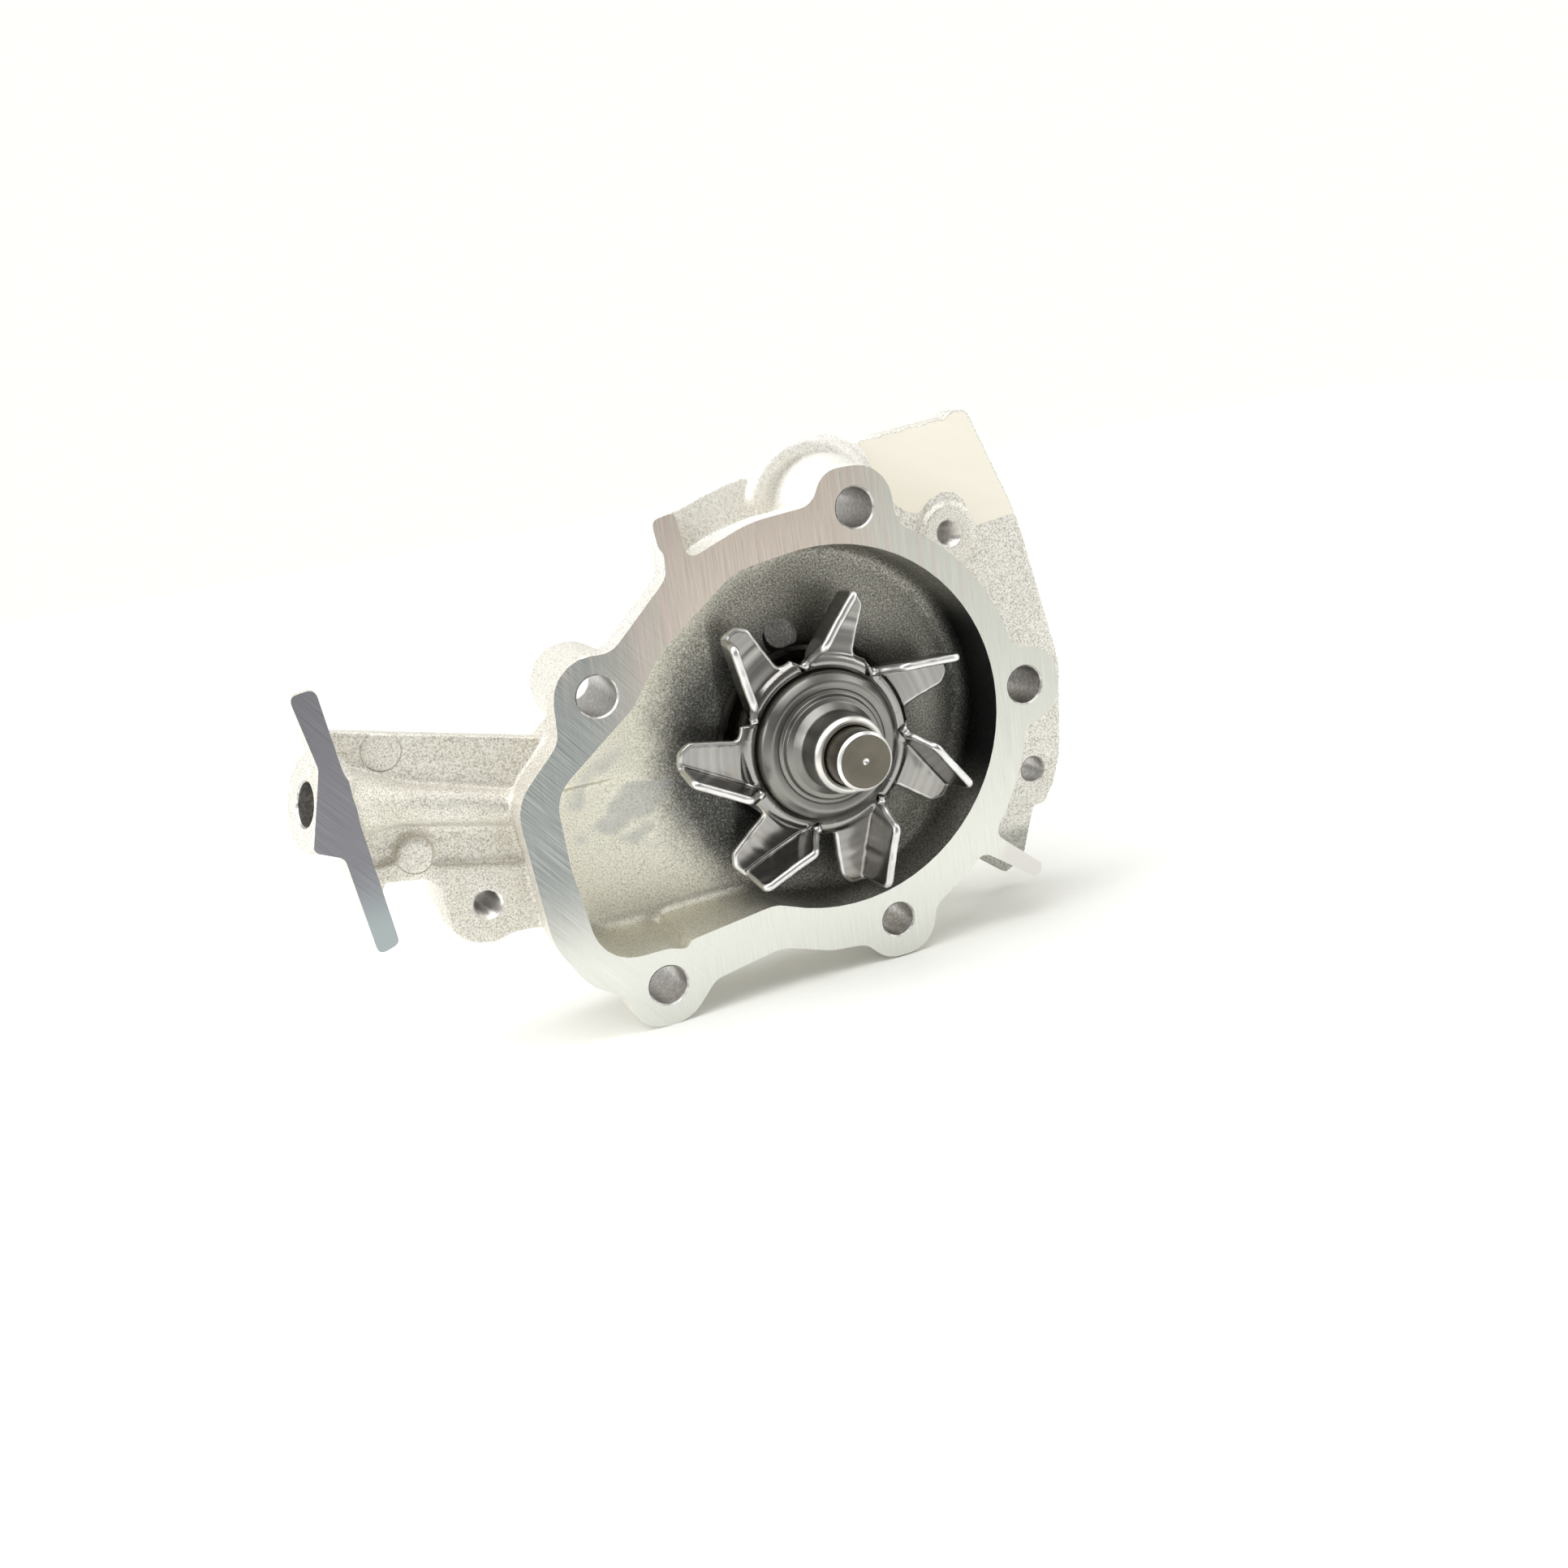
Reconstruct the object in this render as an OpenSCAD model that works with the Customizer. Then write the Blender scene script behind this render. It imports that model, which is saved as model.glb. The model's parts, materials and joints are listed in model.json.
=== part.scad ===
// Engine water pump with a pressed seven-vane impeller, in millimetres.
// The origin is where the shaft axis meets the milled mating face.
// The mating face looks along -Y, +X is right and +Z is up as seen from the engine side.

/* [Flange] */
// Radius of the clearance holes for the flange bolts
bolt_hole_r = 4.5; // [4.3:0.05:4.6]
// Radius of the reamed hole at the lower right
small_hole_r = 4; // [3.9:0.05:4.2]
// Depth of the flange between its bolt bosses
flange_depth = 8; // [7:0.5:10]
// Depth of the volute casting behind the mating face
shell_depth = 22; // [21:0.5:23]

/* [Volute] */
// Radius of the round part of the cavity
volute_r = 42.4; // [42:0.1:42.8]
// Height of the cavity circle's centre above the shaft axis
volute_rise = 4.6; // [4.2:0.1:5]
// Depth of the cavity floor beside the impeller
volute_depth = 15.5; // [15:0.5:16.5]
// Depth of the outlet chamber at the left
outlet_depth = 21; // [19:0.5:22]

/* [Impeller] */
// Number of vanes
vane_count = 7; // [6:1:8]
// Radius over the vane tips
vane_tip_r = 36; // [34:0.5:36.5]
// Height of the vanes in front of their plate
vane_height = 10.5; // [8:0.5:11]
// Outward lean of the vanes in degrees
vane_lean = 8; // [0:1:12]
// Sheet thickness of the vane plate
sheet = 1.6; // [1.2:0.1:1.8]
// Distance of the vane plate behind the mating face
plate_y = 8; // [7.5:0.25:8.5]

/* [Shaft and bearing] */
// Shaft radius in the bearing
shaft_r = 7.96; // [7.9:0.01:8]
// Shaft radius at the impeller end
nose_r = 6.8; // [6.6:0.05:7]
// Length of shaft in front of the mating face
nose_reach = 15; // [13:0.5:16]
// Radius of the bearing's outer ring
bearing_r = 15; // [14.9:0.05:15.1]
// Radius of the balls
ball_r = 2.5; // [2.4:0.05:2.5]
// Number of balls
ball_count = 9; // [7:1:9]
// Number of rollers
roller_count = 12; // [9:1:12]

/* [Pulley hub] */
// Radius of the hub flange
hub_r = 30; // [28:0.5:32]
// Radius of the circle of the four pulley screws
hub_pcd_r = 22; // [21:0.5:23]
// Thread core radius of the pulley screws
hub_screw_r = 2.5; // [2.4:0.05:2.6]
// Radius of the shaft end that centres the pulley
pilot_r = 7.5; // [7.3:0.1:7.8]

/* [Hidden] */
$fn = 64;

// How far cutting shapes run past the faces they cut
over = 1;
// Points on each rounded corner of an outline
corner_steps = 5;

// Holes in the mating face: x, z
top_hole = [11.6, 53.8];
left_hole = [-54.1, 24.2];
low_left_hole = [-48.9, -44.9];
right_hole = [50.5, 4.6];
low_right_hole = [10, -44.9];

// Bearing bore and the faces along the shaft, in y
pocket_end = 20;
seal_bore_r = 18;
seal_bore_end = 33.2;
drain_r = 13;
drain_y = 36.5;
bearing_start = 39.5;
bearing_end = 75.5;
snout_end = 77;
snout_r = 20.5;
ball_y = 46.5;
roller_y = 65.5;
ring_bore_r = 11.3;
roller_r = 1.63;
roller_len = 11;
race_r = (shaft_r + ring_bore_r) / 2;
race_gap = 0.04;
groove_r = ball_r + race_gap;

// Arm at the left: the axis of its end boss runs down to the right
arm_y = 10;
arm_thick = 6;
arm_boss_at = [-117.6, 6.2, 13.8];
arm_boss_turn = [0, 16, 14];
arm_boss_r = 10.5;
arm_hole_r = 4.75;
arm_hole_depth = 14;
bulge_start = [-112, 7.6, 12.2];
bulge_neck = [-97, 11.3, 7.7];
bulge_end = [-62, 13, -2];
lug_at = [-83.9, -18.6];
lug_hole_r = 3.4;
lug_back = 30;
hump_back = 27;
spur_depth = 3;
floor_step = 0.8;

// Angle of the first vane's tip
first_vane = 26.7;

// Back plate at the upper right
plate_front = 20;
plate_back = 26;
plate_boss_at = [44.4, 41.2];
plate_boss_r = 7;
plate_hole_at = [62, -23.5];
plate_hole_r = 3.2;
top_boss_r = 13.6;
bolt_boss_r = 8.7;
left_boss_r = 9.2;
low_boss_r = 7.2;
low_left_back = 19;
low_right_back = 16;

// Outlines of the casting, clockwise from the upper left: x, z, corner radius
flange_outline = [
    [-36.1, 58.9, 1.4], [-30.6, 60, 1.2], [-29.3, 49.2, 2], [-14, 54.8, 30], [1.4, 56, 5],
    [4.6, 63.1, 6], [20.9, 63.1, 9], [21.3, 48.6, 5.5], [42.7, 36.2, 48.7], [48.4, 13.9, 3],
    [59.8, 13.9, 9], [59.8, -4.7, 8.4], [49.8, -4.8, 2], [47.2, -17.9, 51.2], [38.3, -30.3, 2.5],
    [51, -41.4, 1.5], [48.9, -44.4, 1.5], [34.6, -34, 3], [28.8, -39, 8], [20.3, -44.2, 4],
    [18.6, -54.1, 8.2], [5.6, -54.1, 8.2], [1, -48.8, 5], [-8, -47.9, 15], [-20.3, -43.7, 10],
    [-37.6, -46.7, 5], [-44.7, -54.5, 9.4], [-58.2, -54.5, 8.6], [-58.9, -45, 2.5], [-67, -39.8, 14],
    [-73.2, -28.5, 18], [-75.8, 4.6, 11], [-64.2, 16, 6], [-63.4, 33.5, 9.2], [-49.4, 32.8, 6],
    [-34.6, 46.4, 4], [-34.4, 51.6, 1], [-35.4, 52.9, 0.8]
];
shell_outline = concat(
    [
        [-34, -39.2, 3], [-50, -40.4, 5], [-66.5, -39.4, 14], [-72.4, -28, 18], [-75, 4, 11],
        [-63.6, 15.6, 6], [-45.6, 28.7, 6], [-30.8, 42.3, 4], [-14, 54.2, 30]
    ],
    arc([0, volute_rise], 48, 64, -14, 12),
    arc([0, volute_rise], 46.4, -16, -112, 14)
);
hump_outline = [
    [-31, -37.5, 6], [-50, -39.4, 5], [-65.4, -38.4, 14], [-71.2, -27.6, 18], [-73.6, 3.4, 11],
    [-64.5, 9, 5], [-46.5, 23, 4], [-41, 31, 4], [-36.5, 35.4, 2], [-31, 34, 3]
];
cavity_outline = concat(
    arc([0, volute_rise], volute_r, 94, -108, 36),
    [
        [-20.5, -32.9, 8], [-42, -35.7, 1], [-43.2, -37.5, 0.4], [-47.5, -36.2, 4], [-62.8, -36.3, 10],
        [-66.4, -12, 30], [-66.9, 4.8, 9], [-46.4, 20.2, 7], [-38.8, 30.4, 8], [-19, 44.9, 14]
    ]
);
plate_outline = [
    [-28.8, 48, 0], [-28.4, 57.8, 1.5], [-22.6, 58.4, 2], [-12, 61.8, 6], [2, 64, 3],
    [20, 66.2, 3], [47.6, 68.5, 1], [48.2, 69.5, 0.7], [53.3, 69.5, 1.2], [64.4, 42.5, 60],
    [72.9, 3, 25], [70.7, -21, 10], [67.9, -28.6, 3], [64.4, -33.6, 1], [61.6, -33, 1],
    [57.4, -44.8, 1.5], [53.6, -48.2, 1.5], [51.2, -49.2, 1], [43, -42.6, 2], [41, -34, 3],
    [40, 0, 0], [20, 44, 0]
];
strip_outline = [
    [-116.6, 37.4, 1.2], [-111.2, 38.2, 1.5], [-105.3, -18.6, 1.2], [-110, -20.2, 1.2],
    [-112.6, 2.2, 1], [-118, 4.7, 0.8], [-113.9, 21.8, 2]
];
arm_outline = [
    [-115, 27.9, 1], [-64.5, 15.2, 2], [-60, 10, 0], [-62, -26, 0], [-71.5, -27.2, 1], [-79, -26.6, 8],
    [-84, -27.8, 8], [-93.4, -25.5, 8], [-93.3, -12.5, 2], [-96, -9.6, 1], [-104, -8.4, 1.5],
    [-106.5, -13, 1], [-110, -13, 0]
];
arm_land_outline = [
    [-108, -4.3, 0], [-101.5, -4.3, 0.6], [-92.9, -7.2, 0.6], [-61.5, -14.4, 0], [-61.5, -25.4, 0],
    [-71.5, -27.2, 1], [-79, -26.6, 8], [-84, -27.8, 8], [-93.4, -25.5, 8], [-93.3, -12.5, 2],
    [-96, -9.6, 1], [-104, -8.4, 1.5]
];

// Unit vector from a to b
function toward(a, b) = (b - a) / norm(b - a);
// Turn from angle a to angle b, between -180 and 180
function turn(a, b) = (b - a + 540) % 360 - 180;
// Corners along an arc, from angle a0 to a1
function arc(centre, r, a0, a1, steps) = [
    for (i = [0 : steps])
        let (a = a0 + (a1 - a0) * i / steps)
        [centre[0] + r * cos(a), centre[1] + r * sin(a), 0]
];
// Arc that rounds corner b of an outline, between its neighbours a and c
function corner(a, b, c, r) =
    let (
        u = toward(b, a),
        v = toward(b, c),
        half = acos(u * v) / 2,
        centre = b + (u + v) / norm(u + v) * r / sin(half),
        p = b + u * r / tan(half) - centre,
        q = b + v * r / tan(half) - centre,
        start = atan2(p[1], p[0]),
        sweep = turn(start, atan2(q[1], q[0]))
    )
    r == 0 ? [b] : [
        for (i = [0 : corner_steps])
            let (a = start + sweep * i / corner_steps)
            centre + r * [cos(a), sin(a)]
    ];
function flat(p) = [p[0], p[1]];
// Outline with its corners rounded
function rounded(path) =
    let (n = len(path))
    [
        for (i = [0 : n - 1])
            each corner(flat(path[(i + n - 1) % n]), flat(path[i]), flat(path[(i + 1) % n]), path[i][2])
    ];
// Point at radius r and angle a, counter-clockwise seen from the engine side
function polar(r, a) = r * [cos(a), sin(a)];

// Flat shape in x and z, from depth y0 back to depth y1
module prism(y0, y1) {
    translate([0, y1, 0]) rotate([90, 0, 0]) linear_extrude(y1 - y0) children();
}
module outline(path, y0, y1) {
    prism(y0, y1) polygon(rounded(path));
}
// Cylinder along Y through the point at = [x, z]
module rod(at, r, y0, y1) {
    translate([at[0], y0, at[1]]) rotate([-90, 0, 0]) cylinder(r = r, h = y1 - y0);
}
module cone(at, r0, r1, y0, y1) {
    translate([at[0], y0, at[1]]) rotate([-90, 0, 0]) cylinder(r1 = r0, r2 = r1, h = y1 - y0);
}
// Round bar from point a to point b
module bar(a, b, r0, r1) {
    d = b - a;
    translate(a) rotate([0, acos(d[2] / norm(d)), atan2(d[1], d[0])]) cylinder(r1 = r0, r2 = r1, h = norm(d));
}
// Shape turned about the shaft axis from a profile of [radius, y] points
module turned(profile) {
    rotate([-90, 0, 0]) rotate_extrude() polygon(profile);
}
// Ring about the shaft axis
module ring(r0, r1, y0, y1) {
    turned([[r0, y0], [r1, y0], [r1, y1], [r0, y1]]);
}
// Copies round the shaft axis
module around(count, first = 0) {
    for (i = [0 : count - 1]) rotate([0, -first - i * 360 / count, 0]) children();
}

// Bolt bosses that stand behind the flange
module bolt_bosses() {
    rod(left_hole, left_boss_r, over, shell_depth + 0.6);
    rod(low_left_hole, low_boss_r + 1, over, low_left_back);
    rod(low_right_hole, low_boss_r, over, low_right_back);
    rod(right_hole, bolt_boss_r, over, plate_back);
    cone(top_hole, bolt_boss_r, 12, flange_depth - over, plate_front);
    rod(top_hole, top_boss_r + 2.4, plate_front - over, plate_front + 2);
    rod(top_hole, top_boss_r, plate_front + over, plate_back + 2);
}
// Flange with its lobes and the two thin locating spurs
module flange() {
    difference() {
        outline(flange_outline, 0, flange_depth);
        outline([[-40, 51, 0], [-40, 64, 0], [-29.6, 64, 0], [-29.6, 51, 0]], spur_depth, flange_depth + over);
        outline([[45.5, -30, 0], [56, -40, 0], [50, -50, 0], [38.5, -40, 0]], spur_depth, flange_depth + over);
    }
}
// Rib from the upper spur back to the plate
module spur_rib() {
    translate([0, 0, 42]) linear_extrude(15.4)
        polygon([
            [-35.3, spur_depth - over], [-31.2, spur_depth - over], [-24.6, plate_front + over],
            [-28.4, plate_front + over]
        ]);
}
module back_plate() {
    outline(plate_outline, plate_front, plate_back);
    rod(plate_boss_at, plate_boss_r, plate_front - 1.5, plate_back + 8);
    rod(plate_hole_at, 5.5, plate_back - over, plate_back + 5);
}
// Arm with its foot strip, end boss and threaded lug
module arm() {
    foot_strip();
    outline(arm_outline, arm_y + 2, arm_y + arm_thick);
    outline(arm_land_outline, arm_y, arm_y + 3);
    rod([-97.2, -3.4], 4, arm_y - 0.2, arm_y + 3);
    rod([-99.6, 20], 3.9, arm_y + 1.7, arm_y + 3);
    rod(lug_at, 10, arm_y + arm_thick - over, lug_back);
    difference() {
        arm_boss();
        translate([-140, -20, -20]) cube([90, 20.2, 60]);
    }
}
// Foot strip, thin where its ends stand clear of the arm
module foot_strip() {
    deep = arm_y + arm_thick;
    difference() {
        outline(strip_outline, 0, deep);
        translate([-125, 0, 0]) rotate([90, 0, 90]) linear_extrude(30) {
            polygon([[spur_depth, 50], [spur_depth, 33], [deep + over, 26], [deep + over, 50]]);
            polygon([[spur_depth, -30], [spur_depth, -14], [deep + over, -7], [deep + over, -30]]);
        }
    }
}
// Round end boss, and the bulge round its drilling that flares into it
module arm_boss() {
    translate(arm_boss_at) rotate(arm_boss_turn) rotate([0, 90, 0]) cylinder(r = arm_boss_r, h = 7);
    bar(bulge_start, bulge_neck, 8.6, 4.4);
    bar(bulge_start * 0.25 + bulge_neck * 0.75, bulge_end, 4.6, 3.6);
}
// Neck and snout that hold the seal and the bearing, with their ribs
module snout() {
    turned([
        [0, pocket_end], [33, pocket_end], [32, 24], [25, 27.5], [24, 39], [snout_r, 44], [snout_r, snout_end],
        [0, snout_end]
    ]);
    around(5)
        translate([0, 0, -2.5]) linear_extrude(5)
            polygon([[15, 21], [38, 21], [38, 24], [snout_r - 1.5, 66], [15, 66]]);
    translate([0, drain_y, 0]) cylinder(r = 8, h = 29);
}
// Inside of the volute: round part and outlet chamber, with a floor that falls to the left
module cavity() {
    intersection() {
        outline(cavity_outline, -over, outlet_depth + 5);
        union() {
            translate([0, 0, -60]) linear_extrude(120) floor_profile(0);
            translate([0, 0, -60]) linear_extrude(60) floor_profile(floor_step);
        }
    }
}
// Section of the cavity in x and y, with its floor lower by drop in the outlet chamber
module floor_profile(drop) {
    polygon([
        [-80, -2 * over], [60, -2 * over], [60, volute_depth], [-22, volute_depth],
        [-42, outlet_depth], [-52, outlet_depth + drop], [-80, outlet_depth + drop]
    ]);
}
// Bores for the seal, the drain chamber and the bearing
module shaft_bores() {
    turned([
        [0, volute_depth - over], [24, volute_depth - over], [23.4, volute_depth], [21.6, pocket_end],
        [seal_bore_r, pocket_end], [seal_bore_r, seal_bore_end], [drain_r, seal_bore_end],
        [drain_r, bearing_start], [bearing_r, bearing_start], [bearing_r, snout_end + over],
        [0, snout_end + over]
    ]);
    rod([-4.4, 25.6], 4.3, volute_depth - over, 18);
    translate([0, drain_y, -30]) cylinder(r = 2.5, h = 30);
    translate([0, drain_y, 0]) cylinder(r = 2.5, h = 26);
    translate([0, drain_y, 23]) cylinder(r = 5, h = 7);
}
module housing() {
    color("silver") difference() {
        union() {
            flange();
            outline(shell_outline, flange_depth - over, shell_depth);
            outline(hump_outline, shell_depth - over, hump_back);
            bolt_bosses();
            spur_rib();
            back_plate();
            arm();
            snout();
        }
        cavity();
        shaft_bores();
        for (at = [top_hole, left_hole, low_left_hole, right_hole])
            rod(at, bolt_hole_r, -over, plate_back + 10);
        rod(low_right_hole, small_hole_r, -over, low_right_back + over);
        rod(plate_boss_at, lug_hole_r, plate_front - 3, plate_back + 10);
        rod(plate_hole_at, plate_hole_r, plate_front - over, plate_back + 10);
        rod(lug_at, lug_hole_r, arm_y - over, lug_back + over);
        translate(arm_boss_at) rotate(arm_boss_turn) translate([-over, 0, 0])
            rotate([0, 90, 0]) cylinder(r = arm_hole_r, h = arm_hole_depth + over);
    }
}
module drain_plug() {
    color("goldenrod") translate([0, drain_y, 23]) difference() {
        cylinder(r = 5, h = 4.5);
        translate([0, 0, 1]) cylinder(r = 4, h = 4.5);
    }
}

module bearing_outer_ring() {
    color("lightsteelblue") difference() {
        ring(ring_bore_r, bearing_r, bearing_start, bearing_end);
        ball_groove();
    }
}
// Torus that the balls run in
module ball_groove() {
    translate([0, ball_y, 0]) rotate([-90, 0, 0]) rotate_extrude()
        translate([race_r, 0]) circle(r = groove_r);
}
module bearing_seal(y0) {
    ring(shaft_r + 0.08, ring_bore_r, y0, y0 + 1.6);
}
module bearing_seal_front() {
    color("#222222") bearing_seal(bearing_start + 0.6);
}
module bearing_seal_rear() {
    color("#222222") bearing_seal(bearing_end - 2.2);
}
module bearing_balls() {
    color("whitesmoke") around(ball_count) translate([race_r, ball_y, 0]) sphere(r = ball_r);
}
module ball_cage() {
    color("burlywood") difference() {
        ring(race_r - 0.7, race_r + 0.7, ball_y - 3.6, ball_y + 3.6);
        around(ball_count) translate([race_r - 3, ball_y, 0])
            rotate([0, 90, 0]) cylinder(r = groove_r + 0.02, h = 6);
    }
}
module bearing_rollers() {
    color("whitesmoke") around(roller_count)
        translate([race_r, roller_y - roller_len / 2, 0]) rotate([-90, 0, 0]) cylinder(r = roller_r, h = roller_len);
}
module roller_cage() {
    color("burlywood") difference() {
        ring(race_r - 0.7, race_r + 0.7, roller_y - 7.2, roller_y + 7.2);
        around(roller_count) translate([race_r, roller_y, 0])
            cube([6, roller_len + 0.2, 2 * roller_r + 0.1], center = true);
    }
}

module seal_case() {
    color("peru") turned([
        [9.6, seal_bore_end - 0.9], [17.2, seal_bore_end - 0.9], [17.2, 19.1], [20.6, 19.1], [20.6, pocket_end],
        [seal_bore_r, pocket_end], [seal_bore_r, seal_bore_end - 0.1], [9.6, seal_bore_end - 0.1]
    ]);
}
module seal_carbon_ring() {
    color("#333333") turned([
        [8.6, 17.2], [10.4, 17.2], [10.4, 18.4], [12.4, 18.4], [12.4, 21.4], [8.6, 21.4]
    ]);
}
// Rubber bellows from the carbon ring back to the floor of the case
module seal_bellows() {
    color("#1f2a2a") turned([
        [8.6, 21.4], [13.4, 21.4], [13.4, 22.6], [10.2, 22.6], [10.2, 25], [12.2, 26.4], [10.2, 28], [10.2, 31.3],
        [13.4, 31.3], [13.4, 32.3], [9.7, 32.3], [9.1, 31.3], [9.1, 28.2], [11, 26.4], [9.1, 24.8], [8.6, 23]
    ]);
}
module seal_spring_washer() {
    color("silver") ring(13.5, 16.6, 21.4, 22.2);
}
spring_wire_r = 0.7;
spring_coil_r = 15.1;
spring_turns = 3.5;
spring_sides = 8;
spring_rings = 70;
spring_from = 22.95;
spring_to = 31.55;
function spring_point(i, j) =
    let (
        f = i / spring_rings,
        a = 360 * spring_turns * f,
        b = 360 * j / spring_sides,
        r = spring_coil_r + spring_wire_r * cos(b)
    )
    [r * cos(a), spring_from + (spring_to - spring_from) * f + spring_wire_r * sin(b), r * sin(a)];
module seal_spring() {
    color("silver") polyhedron(
        points = [for (i = [0 : spring_rings]) for (j = [0 : spring_sides - 1]) spring_point(i, j)],
        faces = concat(
            [[for (j = [spring_sides - 1 : -1 : 0]) j]],
            [for (i = [0 : spring_rings - 1]) for (j = [0 : spring_sides - 1])
                let (k = (j + 1) % spring_sides, p = i * spring_sides, q = p + spring_sides)
                [p + j, p + k, q + k, q + j]],
            [[for (j = [0 : spring_sides - 1]) spring_rings * spring_sides + j]]
        )
    );
}
module seal_mating_ring() {
    color("ivory") ring(9.2, 13.2, 13.2, 17.17);
}
module seal_seat_cup() {
    color("#1f2a2a") turned([
        [nose_r, plate_y + sheet], [13.2, plate_y + sheet], [13.2, 13.2], [9.2, 13.2], [9.2, 16.6], [nose_r, 16.6]
    ]);
}
module slinger() {
    color("silver") turned([
        [nose_r, 34.2], [8.2, 34.2], [8.2, 35.8], [11.6, 35.2], [11.6, 36.2], [8.2, 36.8], [8.2, 38], [nose_r, 38]
    ]);
}

module pump_shaft() {
    color("dimgray") difference() {
        turned([
            [0, -nose_reach], [nose_r - 0.5, -nose_reach], [nose_r, 0.5 - nose_reach], [nose_r, 38.2],
            [shaft_r, 38.8], [shaft_r, 87], [pilot_r, 87], [pilot_r, 89.4], [pilot_r - 0.6, 90], [0, 90]
        ]);
        ball_groove();
        cone([0, 0], 0.7, 0.1, -nose_reach - 0.1, 0.5 - nose_reach);
    }
}
// One vane, standing on its fold line from the tip inwards
module vane() {
    tip = polar(vane_tip_r, -2.2);
    root = polar(20.8, 20.5);
    run = norm(root - tip);
    heading = atan2(root[1] - tip[1], root[0] - tip[0]);
    translate([tip[0], plate_y + sheet, tip[1]]) rotate([0, -heading, 0]) rotate([vane_lean, 0, 0])
        linear_extrude(sheet) polygon(rounded([
            [0, 0, 0], [-0.4, -vane_height - sheet, 1.2], [13.6, -vane_height - sheet, 2], [run, -sheet, 0], [run, 0, 0]
        ]));
}
module impeller_vane_plate() {
    petal = [
        [0, 0, 0],
        concat(polar(20.6, 36.4), [1.2]),
        concat(polar(20.8, 22.2), [1]),
        concat(polar(vane_tip_r, -2.2), [0.3]),
        concat(polar(vane_tip_r - 0.6, -9.6), [1]),
        concat(polar(vane_tip_r - 2.4, -12.6), [1]),
        concat(polar(22, -13.4), [2])
    ];
    color("slategray") {
        difference() {
            around(vane_count, first_vane) outline(petal, plate_y, plate_y + sheet);
            rod([0, 0], 20, 0, 20);
        }
        around(vane_count, first_vane) vane();
        turned([
            [nose_r, plate_y], [19, plate_y], [19.2, 6.8], [20.4, 6.2], [21.3, 6.9], [21.5, plate_y + 0.4],
            [21.5, plate_y + sheet], [nose_r, plate_y + sheet]
        ]);
    }
}
// Pressed cup with two steps and a collar on the shaft
module impeller_hub() {
    color("gray") turned([
        [nose_r, -7.6], [7.6, -8.4], [8.5, -8.1], [8.9, -7], [9.1, -1.6], [10.1, -0.6], [11.6, -0.2], [12, 1.2],
        [12.5, 2.2], [14.4, 2.7], [15, 3.8], [15.5, 5.2], [17.2, 5.6], [18.4, 6.6], [18.7, plate_y],
        [17, plate_y], [16.6, 7.4], [14.4, 7], [13.2, 4.6], [11.2, 4], [10.4, 1.6], [9, 1.2], [nose_r, 0]
    ]);
}
module pulley_hub() {
    color("darkgray") difference() {
        turned([
            [shaft_r, 78.5], [13.5, 78.5], [14.5, 79.5], [14.5, 82], [hub_r - 0.8, 82], [hub_r, 82.8],
            [hub_r, 86.2], [hub_r - 0.8, 87], [shaft_r, 87]
        ]);
        for (a = [45 : 90 : 315]) rod(polar(hub_pcd_r, a), hub_screw_r, 80, 89);
    }
}

housing();
drain_plug();
bearing_outer_ring();
bearing_seal_front();
bearing_seal_rear();
bearing_balls();
ball_cage();
bearing_rollers();
roller_cage();
seal_case();
seal_bellows();
seal_spring();
seal_spring_washer();
seal_carbon_ring();
seal_mating_ring();
seal_seat_cup();
slinger();
pump_shaft();
impeller_vane_plate();
impeller_hub();
pulley_hub();
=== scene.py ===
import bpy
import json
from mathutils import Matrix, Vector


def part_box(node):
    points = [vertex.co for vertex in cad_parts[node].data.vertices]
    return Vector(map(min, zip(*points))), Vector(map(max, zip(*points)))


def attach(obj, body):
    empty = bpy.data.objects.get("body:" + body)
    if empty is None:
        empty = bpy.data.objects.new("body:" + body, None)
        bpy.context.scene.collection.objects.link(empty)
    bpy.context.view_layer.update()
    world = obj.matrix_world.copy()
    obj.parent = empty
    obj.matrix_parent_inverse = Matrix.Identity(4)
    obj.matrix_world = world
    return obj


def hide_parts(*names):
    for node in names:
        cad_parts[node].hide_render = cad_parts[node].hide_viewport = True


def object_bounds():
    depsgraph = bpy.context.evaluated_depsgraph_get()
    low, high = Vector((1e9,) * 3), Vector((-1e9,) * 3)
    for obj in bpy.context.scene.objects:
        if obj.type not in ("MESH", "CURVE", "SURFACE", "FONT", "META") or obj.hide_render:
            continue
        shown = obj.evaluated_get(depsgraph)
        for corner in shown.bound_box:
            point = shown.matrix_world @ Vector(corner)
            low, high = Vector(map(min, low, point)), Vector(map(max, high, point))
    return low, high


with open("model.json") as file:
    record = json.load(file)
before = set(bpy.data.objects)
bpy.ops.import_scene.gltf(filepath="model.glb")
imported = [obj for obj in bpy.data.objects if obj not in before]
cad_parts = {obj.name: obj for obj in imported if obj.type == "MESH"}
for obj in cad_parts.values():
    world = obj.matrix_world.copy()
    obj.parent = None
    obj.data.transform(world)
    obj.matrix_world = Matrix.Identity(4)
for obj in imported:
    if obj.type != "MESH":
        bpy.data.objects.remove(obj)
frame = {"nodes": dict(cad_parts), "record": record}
cad_box = [list(corner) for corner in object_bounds()]

import json
import math

import bmesh
import bpy
import numpy as np
from mathutils import Matrix, Vector
from mathutils.bvhtree import BVHTree
from mathutils.geometry import delaunay_2d_cdt

# All lengths below are millimetres, in the frame of the CAD model; MM turns them into metres.
MM = 0.001
SCENE = bpy.context.scene
RECORD = frame["record"]
MOUNTS = {m["name"]: m for m in RECORD["mounts"]}
HOUSING_BODY = "housing_body"
ROTOR = "rotor"


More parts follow.
